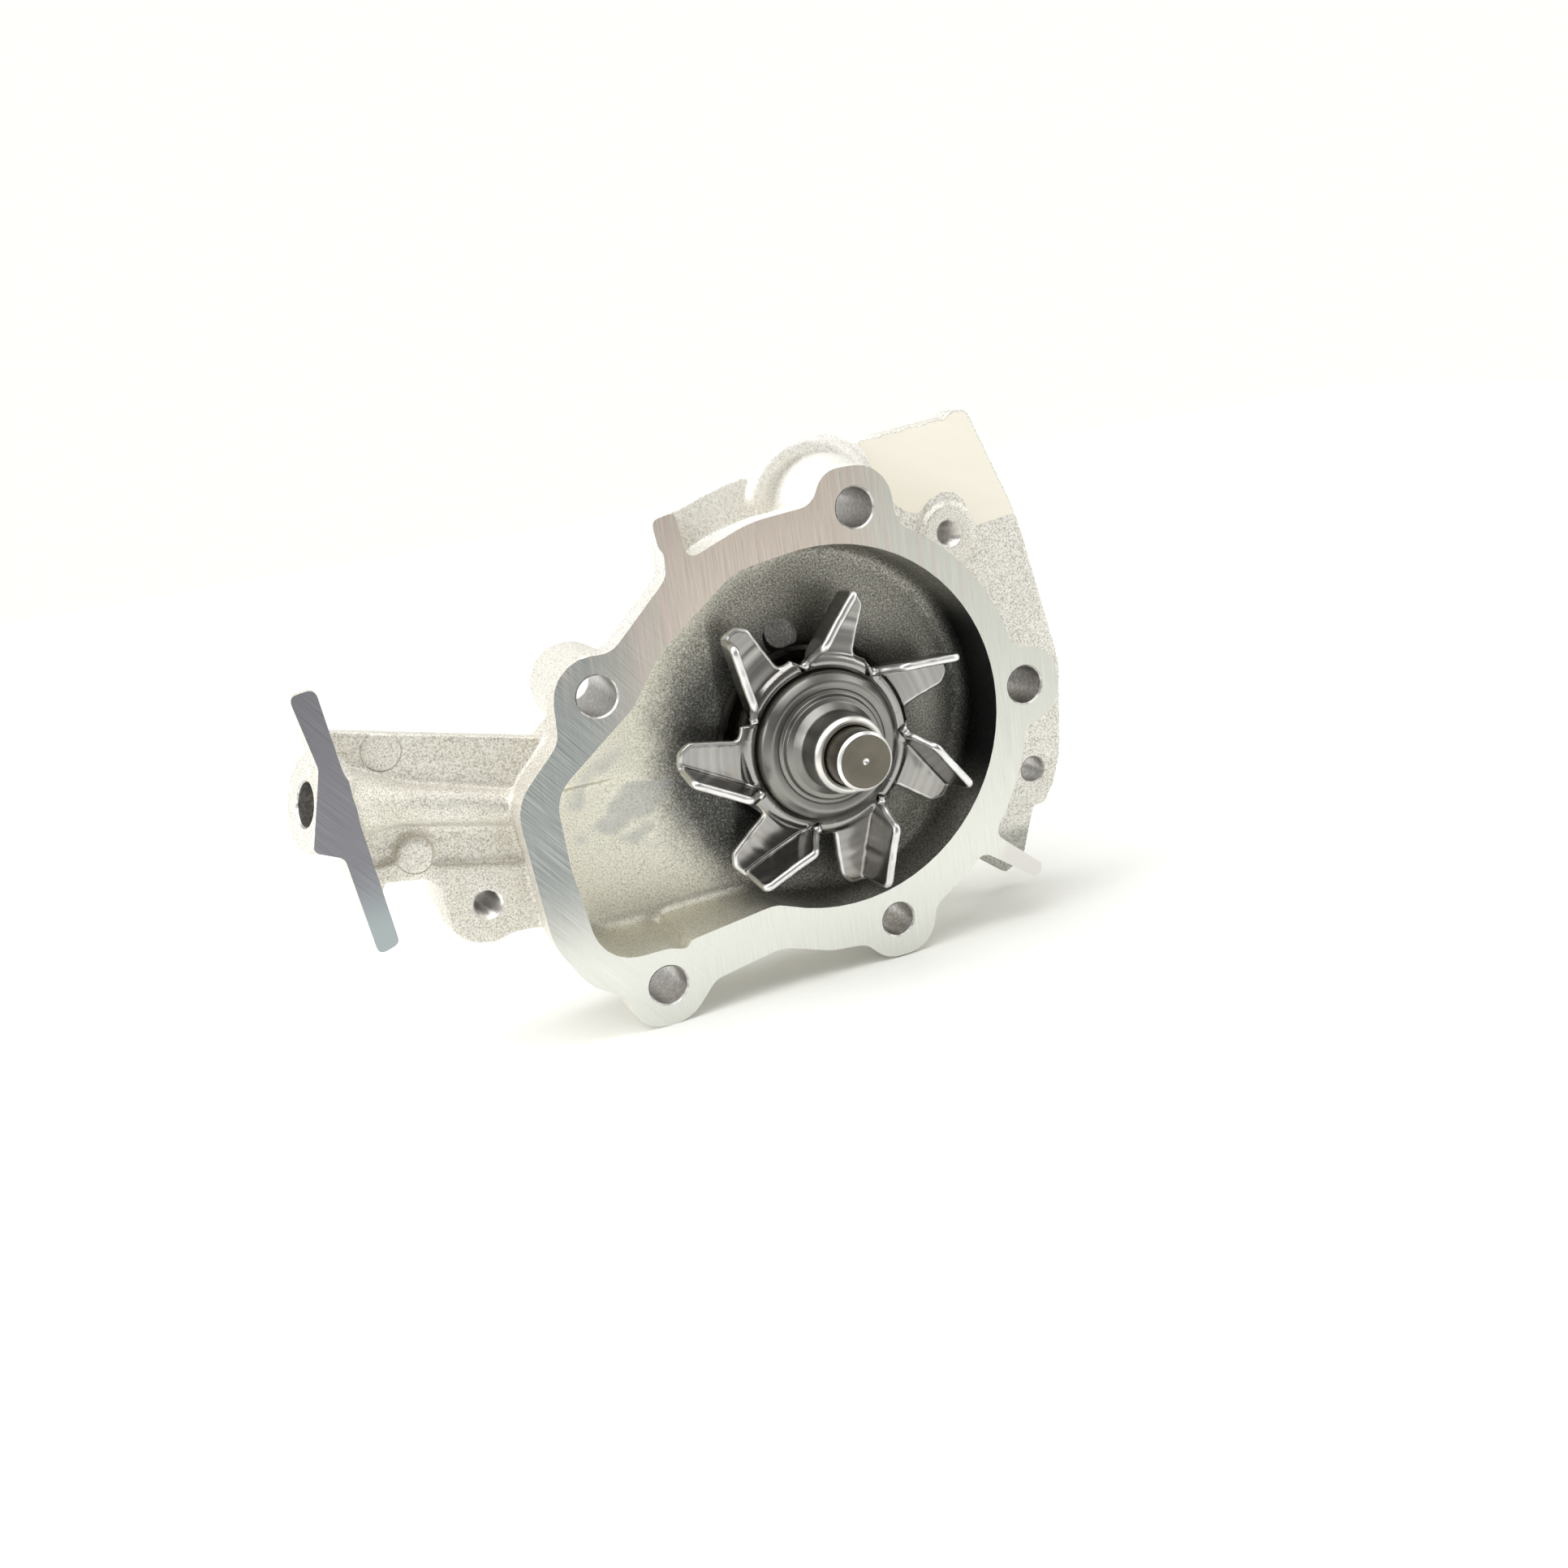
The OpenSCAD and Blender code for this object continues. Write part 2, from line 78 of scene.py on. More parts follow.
def box_mm(node):
    """Lowest and highest corner of a CAD node, in millimetres."""
    low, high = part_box(node)
    return np.array(low) / MM, np.array(high) / MM


# ---------------------------------------------------------------- mesh helpers


def mesh_object(name, points, faces):
    mesh = bpy.data.meshes.new(name)
    mesh.from_pydata((np.asarray(points, float) * MM).tolist(), [], faces)
    obj = bpy.data.objects.new(name, mesh)
    SCENE.collection.objects.link(obj)
    return obj


def weld(obj, gap=0.002):
    """Joins points closer than gap and turns all faces outwards."""
    bm = bmesh.new()
    bm.from_mesh(obj.data)
    bmesh.ops.remove_doubles(bm, verts=bm.verts, dist=gap * MM)
    bmesh.ops.recalc_face_normals(bm, faces=bm.faces)
    bm.to_mesh(obj.data)
    bm.free()
    return obj


def shade(obj, sharp_angle=32):
    mesh = obj.data
    mesh.polygons.foreach_set("use_smooth", [True] * len(mesh.polygons))
    mesh.set_sharp_from_angle(angle=math.radians(sharp_angle))
    mesh.update()
    return obj


def settle(obj):
    """Applies all modifiers."""
    graph = bpy.context.evaluated_depsgraph_get()
    mesh = bpy.data.meshes.new_from_object(obj.evaluated_get(graph), depsgraph=graph)
    obj.modifiers.clear()
    old, obj.data = obj.data, mesh
    bpy.data.meshes.remove(old)
    return obj


def modify(obj, kind, **settings):
    modifier = obj.modifiers.new(kind.lower(), kind)
    for key, value in settings.items():
        setattr(modifier, key, value)
    return settle(obj)


def combine(obj, tool, operation):
    """Boolean with a tool object, which is used up."""
    modify(obj, "BOOLEAN", solver="MANIFOLD", operation=operation, object=tool)
    bpy.data.objects.remove(tool)
    return obj


def join(name, objects):
    """One object from several whose shapes don't overlap."""
    points, faces = [], []
    for obj in objects:
        first = len(points)
        points += [tuple(v.co / MM) for v in obj.data.vertices]
        faces += [[first + i for i in p.vertices] for p in obj.data.polygons]
        bpy.data.objects.remove(obj)
    return mesh_object(name, points, faces)


def place(obj, body, material=None, replaces=()):
    if material is not None:
        obj.data.materials.clear()
        obj.data.materials.append(material)
    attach(obj, body)
    if replaces:
        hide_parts(*replaces)
    return obj


def corner_arc(a, b, c, radius, steps=5):
    """Points of the arc that rounds corner b between its neighbours a and c."""
    a, b, c = (np.array(p[:2], float) for p in (a, b, c))
    if radius <= 0:
        return [b]
    u, v = (a - b) / np.linalg.norm(a - b), (c - b) / np.linalg.norm(c - b)
    half = math.acos(max(-1, min(1, float(u @ v)))) / 2
    if half > math.pi / 2 - 0.01:
        return [b]
    reach = min(radius / math.tan(half), 0.49 * np.linalg.norm(a - b), 0.49 * np.linalg.norm(c - b))
    radius = reach * math.tan(half)
    centre = b + (u + v) / np.linalg.norm(u + v) * radius / math.sin(half)
    p, q = b + u * reach - centre, b + v * reach - centre
    start = math.atan2(p[1], p[0])
    sweep = (math.atan2(q[1], q[0]) - start + 3 * math.pi) % (2 * math.pi) - math.pi
    return [
        centre + radius * np.array([math.cos(start + sweep * i / steps),
                                    math.sin(start + sweep * i / steps)])
        for i in range(steps + 1)
    ]


def rounded(path, closed=True):
    """Outline with its corners rounded; each corner is (x, y, radius)."""
    n, out = len(path), []
    for i, p in enumerate(path):
        if not closed and i in (0, n - 1):
            out.append(np.array(p[:2], float))
        else:
            out += corner_arc(path[i - 1], p, path[(i + 1) % n], p[2] if len(p) > 2 else 0)
    return out


def revolve(name, profile, centre=(0, 0, 0), axis=(0, 1, 0), segments=144, soft=0.0):
    """Closed shape turned about a line, from (radius, distance along it, corner radius) points.
    A profile that starts and ends on the line is solid; any other is a ring."""
    profile = [(p[0], p[1], p[2] if len(p) > 2 else soft) for p in profile]
    solid = profile[0][0] == 0 and profile[-1][0] == 0
    line = rounded(profile, closed=not solid)
    turn = Vector((0, 0, 1)).rotation_difference(Vector(axis)).to_matrix()
    points, faces, n = [], [], len(line)
    for s in range(segments):
        angle = 2 * math.pi * s / segments
        for r, h in line:
            spot = turn @ Vector((r * math.cos(angle), r * math.sin(angle), h))
            points.append(tuple(spot + Vector(centre)))
    for s in range(segments):
        first, then = s * n, (s + 1) % segments * n
        for i in range(n - 1 if solid else n):
            j = (i + 1) % n
            faces.append((first + i, first + j, then + j, then + i))
    obj = weld(mesh_object(name, points, faces), 0.0005)
    bm = bmesh.new()
    bm.from_mesh(obj.data)
    bmesh.ops.dissolve_degenerate(bm, dist=1e-7, edges=bm.edges)
    bm.to_mesh(obj.data)
    bm.free()
    return obj


def slab(name, low, high):
    """Box from its lowest to its highest corner."""
    corners = [[(low, high)[i][0], (low, high)[j][1], (low, high)[k][2]] for i in (0, 1) for j in (0, 1)
               for k in (0, 1)]
    faces = [(0, 1, 3, 2), (4, 6, 7, 5), (0, 4, 5, 1), (2, 3, 7, 6), (0, 2, 6, 4), (1, 5, 7, 3)]
    return weld(mesh_object(name, corners, faces))


def tube_faces(rows, sides, capped=True):
    """Quads that join rows of points round a tube, and its two ends."""
    faces = []
    for i in range(rows):
        for j in range(sides):
            k = (j + 1) % sides
            faces.append((i * sides + j, i * sides + k, (i + 1) * sides + k, (i + 1) * sides + j))
    if capped:
        faces.append(tuple(range(sides))[::-1])
        faces.append(tuple(rows * sides + j for j in range(sides)))
    return faces


def thread_tap(name, centre, axis, core_r, crest_r, pitch, start, end, around=48, rows_per_turn=8):
    """Screw-shaped cutter for a threaded hole, along axis from start to end."""
    turn = Vector((0, 0, 1)).rotation_difference(Vector(axis)).to_matrix()
    rows = int((end - start) / pitch * rows_per_turn)
    points = []
    for i in range(rows + 1):
        h = start + (end - start) * i / rows
        for j in range(around):
            phase = (h / pitch - j / around) % 1
            groove = min(1.0, max(0.0, 1.25 - 2.9 * abs(phase - 0.5)))
            r = core_r + (crest_r - core_r) * groove
            angle = 2 * math.pi * j / around
            points.append(turn @ Vector((r * math.cos(angle), r * math.sin(angle), h)) + Vector(centre))
    return weld(mesh_object(name, [tuple(p) for p in points], tube_faces(rows, around)))


# ---------------------------------------------------------------- shader helpers


class Shader:
    """Principled material whose patterns are in millimetres of the object's own frame."""

    def __init__(self, name, colour, metallic=1.0, roughness=0.4, **sockets):
        self.material = bpy.data.materials.new(name)
        self.material.use_nodes = True
        self.tree = self.material.node_tree
        self.surface = self.tree.nodes["Principled BSDF"]
        self.surface.inputs["Base Color"].default_value = (*colour, 1)
        self.surface.inputs["Metallic"].default_value = metallic
        self.surface.inputs["Roughness"].default_value = roughness
        for key, value in sockets.items():
            self.surface.inputs[key.replace("_", " ")].default_value = value
        coordinates = self.tree.nodes.new("ShaderNodeTexCoord")
        self.place = coordinates.outputs["Object"]
        self.xyz = None

    def node(self, kind, inputs=(), **settings):
        node = self.tree.nodes.new(kind)
        for key, value in settings.items():
            setattr(node, key, value)
        for key, value in dict(inputs).items():
            self.feed(node.inputs[key], value)
        return node

    def feed(self, socket, value):
        if isinstance(value, bpy.types.NodeSocket):
            self.tree.links.new(value, socket)
        elif socket.type == "RGBA":
            socket.default_value = (*value, 1) if len(value) == 3 else value
        else:
            socket.default_value = value

    def math(self, operation, a, b=0.0, clamp=False):
        return self.node("ShaderNodeMath", {0: a, 1: b}, operation=operation, use_clamp=clamp).outputs[0]

    def times(self, a, b):
        return self.math("MULTIPLY", a, b)

    def plus(self, a, b):
        return self.math("ADD", a, b)

    def axis(self, index):
        """x, y or z in millimetres."""
        if self.xyz is None:
            self.xyz = self.node("ShaderNodeSeparateXYZ", {0: self.place}).outputs
        return self.times(self.xyz[index], 1 / MM)

    def span(self, value, low, high, smooth=True):
        """0 below low, 1 above high."""
        node = self.node("ShaderNodeMapRange", {"Value": value, "From Min": low, "From Max": high})
        node.interpolation_type = "SMOOTHSTEP" if smooth else "LINEAR"
        return node.outputs["Result"]

    def distance(self, x, z):
        """Distance from the line along Y through x, z."""
        dx, dz = self.math("SUBTRACT", self.axis(0), x), self.math("SUBTRACT", self.axis(2), z)
        return self.math("SQRT", self.plus(self.times(dx, dx), self.times(dz, dz)))

    def noise(self, size, stretch=(1, 1, 1), detail=2.0, rough=0.5, turn=(0, 0, 0), shift=(0, 0, 0)):
        """Noise whose features are about size across, times stretch along each axis."""
        turned = self.node("ShaderNodeMapping", {"Vector": self.place, "Rotation": turn}).outputs[0]
        scale = tuple(1 / (MM * size * s) for s in stretch)
        scaled = self.node("ShaderNodeMapping", {"Vector": turned, "Scale": scale,
                                                 "Location": shift}).outputs[0]
        made = self.node("ShaderNodeTexNoise", {"Vector": scaled, "Scale": 1.0, "Detail": detail,
                                                "Roughness": rough})
        return made.outputs[0]

    def ramp(self, value, *stops):
        """Colour ramp; each stop is (position, colour)."""
        node = self.node("ShaderNodeValToRGB", {0: value})
        band = node.color_ramp
        while len(band.elements) < len(stops):
            band.elements.new(1.0)
        for element, (position, colour) in zip(band.elements, stops):
            element.position = position
            element.color = (*colour, 1) if len(colour) == 3 else colour
        return node.outputs[0]

    def mix(self, share, a, b, blend="MIX"):
        node = self.node("ShaderNodeMix", data_type="RGBA", blend_type=blend)
        self.feed(node.inputs[0], share)
        self.feed(node.inputs[6], a)
        self.feed(node.inputs[7], b)
        return node.outputs[2]

    def bump(self, height, depth, strength=1.0, under=None):
        inputs = {"Height": height, "Distance": depth * MM, "Strength": strength}
        if under is not None:
            inputs["Normal"] = under
        return self.node("ShaderNodeBump", inputs).outputs[0]

    def set(self, **links):
        for key, value in links.items():
            self.feed(self.surface.inputs[key.replace("_", " ")], value)
        return self.material


def grey(v, warm=0.0):
    """Neutral colour, warmer or cooler by a small amount."""
    return (v * (1 + warm), v, v * (1 - warm))


# ---------------------------------------------------------------- materials


def cast_aluminium():
    """Shot-blasted skin of the die casting."""
    s = Shader("cast_aluminium", grey(0.8, 0.02), metallic=0.6, roughness=0.5)
    grain = s.noise(0.42, detail=3, rough=0.75)
    patches = s.noise(9, detail=3, rough=0.6)
    sparkle = s.noise(0.16, detail=1)
    plain = s.ramp(grain, (0.34, (0.40, 0.38, 0.345)), (0.5, (0.83, 0.81, 0.755)),
                   (0.62, (0.99, 0.975, 0.93)))
    plain = s.mix(s.times(s.span(patches, 0.45, 0.75), 0.5), plain, (0.92, 0.895, 0.85), "MULTIPLY")
    # paler and less metallic towards the top boss, which is painted light; a little duller along the arm
    top = s.times(s.span(s.axis(2), 47, 57), s.span(s.axis(0), 31, 25))
    plain = s.mix(s.times(top, 0.35), plain, (0.96, 0.945, 0.895))
    plain = s.mix(s.span(s.axis(0), -45, -70), plain, (0.95, 0.94, 0.92), "MULTIPLY")
    # darker on the leg under the spur: painted shade
    leg_painted_shade = s.times(s.span(s.axis(2), -36, -40), s.span(s.axis(0), 38, 42))
    plain = s.mix(leg_painted_shade, plain, (0.6, 0.61, 0.6), "MULTIPLY")
    s.set(Metallic=s.math("SUBTRACT", 0.6, s.times(top, 0.35)))
    rough = s.plus(s.times(sparkle, 0.35), 0.32)
    pits = s.bump(grain, 0.13, 0.7)
    waves = s.bump(s.noise(3.2, detail=2), 0.16, 0.35, under=pits)
    return s.set(Base_Color=plain, Roughness=rough, Normal=waves)


def volute_skin():
    """Cast skin inside the volute: pale in the outlet chamber, dark round the impeller and black along the
    right wall; these tones are painted light and shade, with some soot round the impeller.
    """
    s = Shader("volute_skin", grey(0.7, 0.02), metallic=0.75, roughness=0.5)
    grain = s.noise(0.42, detail=3, rough=0.75)
    cloud = s.noise(10, detail=3, rough=0.6)
    sparkle = s.noise(0.16, detail=1)
    swirl = s.times(cloud, 8)
    near, reach = s.plus(s.distance(-5, -2), swirl), s.plus(s.distance(8, 1), swirl)
    pale = s.ramp(grain, (0.34, (0.54, 0.515, 0.43)), (0.5, (0.87, 0.845, 0.74)),
                  (0.64, (1.0, 0.985, 0.91)))
    mid = s.ramp(grain, (0.34, (0.12, 0.12, 0.105)), (0.5, (0.32, 0.31, 0.275)),
                 (0.64, (0.68, 0.66, 0.60)))
    dark = s.ramp(grain, (0.32, (0.025, 0.026, 0.025)), (0.52, (0.085, 0.085, 0.08)),
                  (0.72, (0.34, 0.335, 0.31)))
    black = s.ramp(grain, (0.35, (0.012, 0.014, 0.014)), (0.6, (0.035, 0.038, 0.038)),
                   (0.78, (0.12, 0.12, 0.115)))
    # tones set by place, black by the right wall, dark and mid round the impeller, pale further out: painted
    # light and shade, with some soot round the impeller
    soot_and_painted_shade = s.mix(s.times(s.span(s.axis(0), 26, 38), s.span(s.axis(1), 15.3, 12)), dark, black)
    soot_and_painted_shade = s.mix(s.times(s.span(near, 29, 40), s.span(s.axis(0), 40, 32)), soot_and_painted_shade, mid)
    soot_and_painted_shade = s.mix(s.span(reach, 45, 57), soot_and_painted_shade, pale)
    # faint bluish stains on the floor of the outlet chamber
    stains = s.span(s.noise(9, stretch=(1.3, 1, 0.8), detail=1, shift=(3.1, 0, 7.7)), 0.49, 0.62)
    stains = s.times(stains, s.span(s.distance(-46, -8), 16, 11))
    soot_and_painted_shade = s.mix(s.times(stains, 0.5), soot_and_painted_shade, (0.42, 0.43, 0.45))
    rough = s.plus(s.times(sparkle, 0.35), 0.28)
    pits = s.bump(grain, 0.10, 0.6)
    waves = s.bump(s.noise(3.2, detail=2), 0.16, 0.35, under=pits)
    return s.set(Base_Color=soot_and_painted_shade, Roughness=rough, Normal=waves)


def milled_face():
    """Mating face: fine cutter lines, and tones that change across the face: pinkish at the top, blue-grey
    towards the left, paler low down.
    """
    s = Shader("milled_face", grey(0.8), roughness=0.3)
    x, z = s.axis(0), s.axis(2)
    streaks = s.noise(0.22, stretch=(1, 1, 60), detail=3, rough=0.7)
    broad = s.noise(1.6, stretch=(1, 1, 30), detail=2)
    across = s.noise(0.16, stretch=(1, 1, 90), detail=2, turn=(0, math.radians(38), 0))
    left = s.span(x, -25, -62)
    low = s.span(z, 5, -35)
    lines = s.mix(s.times(left, 0.8), streaks, across)
    top_tint = s.ramp(lines, (0.3, (0.52, 0.455, 0.40)), (0.5, (0.66, 0.585, 0.52)),
                      (0.72, (0.80, 0.72, 0.65)))
    left_tint = s.ramp(lines, (0.3, (0.20, 0.215, 0.215)), (0.5, (0.31, 0.328, 0.325)),
                       (0.75, (0.55, 0.57, 0.56)))
    side_tint = s.ramp(lines, (0.3, (0.54, 0.545, 0.51)), (0.5, (0.63, 0.635, 0.59)),
                       (0.75, (0.73, 0.735, 0.695)))
    pale = s.ramp(lines, (0.3, (0.64, 0.65, 0.61)), (0.55, (0.73, 0.735, 0.695)),
                  (0.8, (0.83, 0.835, 0.795)))
    colour = s.mix(s.span(x, 2, 26), top_tint, side_tint)
    colour = s.mix(low, colour, pale)
    colour = s.mix(s.times(left, s.span(z, -38, -12)), colour, left_tint)
    pink = s.times(s.span(broad, 0.5, 0.68), s.span(z, 15, 40))
    colour = s.mix(s.times(pink, 0.45), colour, (0.66, 0.52, 0.50))
    strip = s.span(x, -98, -103)
    strip_tint = s.ramp(across, (0.3, (0.185, 0.18, 0.20)), (0.52, (0.225, 0.225, 0.25)),
                        (0.8, (0.30, 0.305, 0.33)))
    strip_low = s.mix(s.span(z, 0, -16), strip_tint, (0.34, 0.38, 0.395))
    colour = s.mix(strip, colour, strip_low)
    colour = s.mix(s.span(s.distance(48, -41), 12, 8), colour, (0.66, 0.64, 0.62))
    # arcs that the cutter's edge leaves where it dwells
    rings = s.math("SINE", s.times(s.distance(-56, 5), 9.5))
    arcs = s.times(s.times(rings, s.span(s.distance(-68, 0), 11, 6)), 0.5)
    height = s.plus(lines, arcs)
    rough = s.plus(s.times(lines, 0.22), 0.2)
    return s.set(Base_Color=colour, Roughness=rough, Normal=s.bump(height, 0.012, 0.5))


def drilled_wall():
    s = Shader("drilled_wall", grey(0.62, 0.02), roughness=0.36)
    rings = s.noise(0.25, stretch=(40, 1, 40), detail=2)
    specks = s.noise(0.9, detail=3, rough=0.7)
    colour = s.mix(s.span(specks, 0.35, 0.75), grey(0.42, 0.04), grey(0.78, 0.02))
    return s.set(Base_Color=colour, Roughness=s.plus(s.times(specks, 0.3), 0.22),
                 Normal=s.bump(rings, 0.02, 0.6))


def threaded_wall():
    """Fresh thread flanks, bright from the tap."""
    s = Shader("threaded_wall", grey(0.9, 0.02), metallic=0.8, roughness=0.3)
    specks = s.noise(0.9, detail=3, rough=0.7)
    return s.set(Base_Color=s.mix(specks, grey(0.8, 0.03), grey(0.97, 0.02)))


def turned_face(name, colour, roughness=0.3, line=0.25, tarnish=0.25, depth=0.012, metallic=1.0):
    """Metal turned about the shaft axis: fine rings on faces and along the length, with uneven tarnish."""
    s = Shader(name, colour, roughness=roughness, metallic=metallic)
    radius = s.distance(0, 0)
    along = s.axis(1)
    waved = s.node("ShaderNodeCombineXYZ", {0: radius, 1: s.times(along, 1.0), 2: 0.0}).outputs[0]
    fine = s.node("ShaderNodeTexNoise", {"Vector": waved, "Scale": 1 / line, "Detail": 3.0,
                                         "Roughness": 0.65})
    fine = fine.outputs[0]
    cloud = s.noise(6, detail=2, rough=0.5)
    dark = tuple(c * (1 - tarnish) for c in colour)
    light = tuple(min(1, c * (1 + tarnish)) for c in colour)
    tone = s.mix(s.span(cloud, 0.25, 0.78), dark, light)
    tone = s.mix(s.times(s.span(fine, 0.4, 0.75), 0.3), tone, light)
    rough = s.plus(s.times(cloud, 0.12), roughness - 0.06)
    return s.set(Base_Color=tone, Roughness=rough, Normal=s.bump(fine, depth, 0.5))


def pressed_steel():
    """Dark glossy sheet steel with faint draw marks along each blade and brown haze."""
    s = Shader("pressed_steel", grey(0.3), roughness=0.2)
    radius = s.distance(0, 0)
    bands = s.node("ShaderNodeTexNoise", {
        "Vector": s.node("ShaderNodeCombineXYZ", {0: radius, 1: s.axis(1), 2: 0.0}).outputs[0],
        "Scale": 0.55, "Detail": 3.0, "Roughness": 0.6}).outputs[0]
    haze = s.noise(5, detail=4, rough=0.62)
    specks = s.noise(0.3, detail=2)
    colour = s.ramp(bands, (0.3, (0.30, 0.29, 0.28)), (0.5, (0.345, 0.335, 0.325)),
                    (0.72, (0.41, 0.40, 0.385)))
    colour = s.mix(s.times(s.span(haze, 0.5, 0.75), 0.35), colour, (0.36, 0.31, 0.26))
    rough = s.plus(s.times(haze, 0.12), 0.13)
    fine = s.bump(specks, 0.01, 0.3)
    return s.set(Base_Color=colour, Roughness=rough, Normal=s.bump(bands, 0.03, 0.4, under=fine))


def bright_edge():
    # Rounded rims of the pressed sheet, lighter than its faces: partly worn bare metal and partly a painted
    # highlight.
    s = Shader("bright_edge", grey(0.8, 0.01), roughness=0.34)
    wear_and_sheen = s.noise(3.5, detail=2)
    return s.set(Base_Color=s.ramp(wear_and_sheen, (0.3, grey(0.68, 0.02)), (0.5, grey(0.78, 0.01)),
                                   (0.7, grey(0.88))))


def rubber(name="rubber", colour=(0.018, 0.019, 0.02)):
    s = Shader(name, colour, metallic=0.0, roughness=0.55)
    grain = s.noise(0.4, detail=3)
    tone = s.mix(s.span(grain, 0.35, 0.7), colour, tuple(2.2 * c for c in colour))
    return s.set(Base_Color=tone, Roughness=s.plus(s.times(grain, 0.3), 0.4),
                 Normal=s.bump(grain, 0.03, 0.4))


def moulded(name, colour, roughness=0.5):
    s = Shader(name, colour, metallic=0.0, roughness=roughness)
    grain = s.noise(0.6, detail=3)
    tone = s.mix(s.span(grain, 0.3, 0.7), tuple(0.8 * c for c in colour), colour)
    return s.set(Base_Color=tone, Roughness=s.plus(s.times(grain, 0.2), roughness - 0.1),
                 Normal=s.bump(grain, 0.02, 0.3))


def rough_recess():
    """Chiselled floor of the scallop beside the seal pocket."""
    s = Shader("rough_recess", grey(0.2), roughness=0.45)
    grain = s.noise(0.5, detail=4, rough=0.75)
    colour = s.ramp(grain, (0.3, grey(0.2)), (0.5, grey(0.6, 0.02)), (0.7, grey(0.95, 0.02)))
    # near-black crescent along the left and lower wall, off the recess's centre: painted shadow
    wall = s.span(s.distance(-3.1, 26.3), 3.8, 4.2)
    colour = s.mix(wall, colour, grey(0.02))
    return s.set(Base_Color=colour, Normal=s.bump(grain, 0.25, 0.8))


def clean_patch():
    """Pale, smooth corner of the back plate."""
    s = Shader("clean_patch", (0.99, 0.94, 0.83), metallic=0.0, roughness=0.6)
    grain = s.noise(0.5, detail=3)
    tone = s.mix(grain, (0.98, 0.92, 0.80), (1.0, 0.955, 0.85))
    return s.set(Base_Color=tone, Normal=s.bump(grain, 0.02, 0.3))


CAST = cast_aluminium()
PATCH = clean_patch()
VOLUTE = volute_skin()
MILLED = milled_face()
DRILLED = drilled_wall()
THREADED = threaded_wall()
RECESS = rough_recess()
BORED = turned_face("bored_aluminium", grey(0.45, 0.02), roughness=0.3, tarnish=0.3)
FACED = turned_face("faced_aluminium", grey(0.8), roughness=0.3, tarnish=0.1)
SHEET = pressed_steel()
EDGE = bright_edge()

# ---------------------------------------------------------------- housing casting

STOCK = 1.5  # metal left on the mating face until it is milled
VOXEL = 0.5
FINE_FACES = 190_000  # triangles of the finished casting, most of them on its cast skin
FILLET = 4.0  # between the volute's wall and its floor
CHAMFER = 0.4
THROUGH = 36.0  # depth that the flange drills reach
FLOOR_Y = box_mm("impeller_vane_plate")[1][1] + 5.9
CASE_R = (box_mm("seal_case")[1][0]) - 2.6
BEARING_LOW, BEARING_HIGH = box_mm("bearing_outer_ring")
BEARING_R = BEARING_HIGH[0]
SNOUT_END = box_mm("housing")[1][1] - 0.15
POCKET_Y = 20.0
CASE_END = 33.2
DRAIN_R = 13.0
RECESS_AT = (-4.4, 25.6)
RECESS_R = 4.3
PLUG_LOW, PLUG_HIGH = box_mm("drain_plug")
ROUND_MOUNTS = [m for m in RECORD["mounts"] if m["kind"] in ("bore", "threaded_hole")]
# radius of the spot face behind each flange hole
SPOT_R = {"top_bolt_hole": 12.4, "left_bolt_hole": 6.4, "low_left_bolt_hole": 6.6, "right_bolt_hole": 8.2,
          "low_right_hole": 6.0, "arm_lug_thread": 9.0, "plate_boss_thread": 6.2, "plate_hole": 4.8}
PLATE_Y = 20.0
# clean corner of the back plate, as x and z
PATCH_OUTLINE = [(27.2, 55.2), (25.6, 61), (24.0, 66), (24, 78), (80, 78), (80, 42.6), (63.5, 42.6),
                 (52.5, 41.4), (51.2, 44.5), (49.8, 48.2), (47.6, 50.3), (44.4, 51), (40.6, 49.7),
                 (37.5, 47),
                 (34, 48), (30.4, 51)]
# rounded bead over the top boss: centre, radius of the arc, radius of the bead, first and last angle
BEAD_AT = (9.2, 19.6, 53.5)
BEAD_RING, BEAD_R = 14.0, 2.3
BEAD_FROM, BEAD_TO = 163, 27
# discs left by ejector pins on the arm: centre and level of the skin round them
THREAD_IN, THREAD_OUT = 0.45, 0.15  # a thread's ridges and grooves, from the radius of its hole
PIN_R = 4.1
PIN_MARKS = [((-99.6, 20.0), 12.0), ((-97.2, -3.4), 10.0)]
# middle line of the round bulge along the arm, whose flanks blend softly into it
BULGE = [(-110, 8, 12), (-97, 11.3, 7.7), (-64, 13, -1.5)]
BULGE_REACH = 8.5


def mount_line(mount):
    """(mouth point in millimetres, direction into the hole, radius, length)."""
    return (np.array(mount["pos_m"]) / MM, -np.array(mount["axis"], float), mount["dims"]["r_mm"],
            mount["dims"]["length_mm"])


def mating_loops(mesh):
    """Outlines of the flat faces in the mating plane, as lists of (x, z) in millimetres."""
    bm = bmesh.new()
    bm.from_mesh(mesh)
    bmesh.ops.remove_doubles(bm, verts=bm.verts, dist=1e-6)
    flat = {f for f in bm.faces if all(abs(v.co.y) < 1e-6 for v in f.verts)}
    follow = {}
    for f in flat:
        for loop in f.loops:
            if not any(other in flat for other in loop.edge.link_faces if other is not f):
                follow[loop.vert] = loop.link_loop_next.vert
    loops = []
    while follow:
        start, now = next(iter(follow.items()))
        del follow[start]
        chain = [start]
        while now in follow:
            chain.append(now)
            now = follow.pop(now)
        loops.append([(v.co.x / MM, v.co.z / MM) for v in chain])
    bm.free()
    return loops


def area(loop):
    p = np.array(loop)
    q = np.roll(p, -1, axis=0)
    return float((p[:, 0] * q[:, 1] - q[:, 0] * p[:, 1]).sum() / 2)


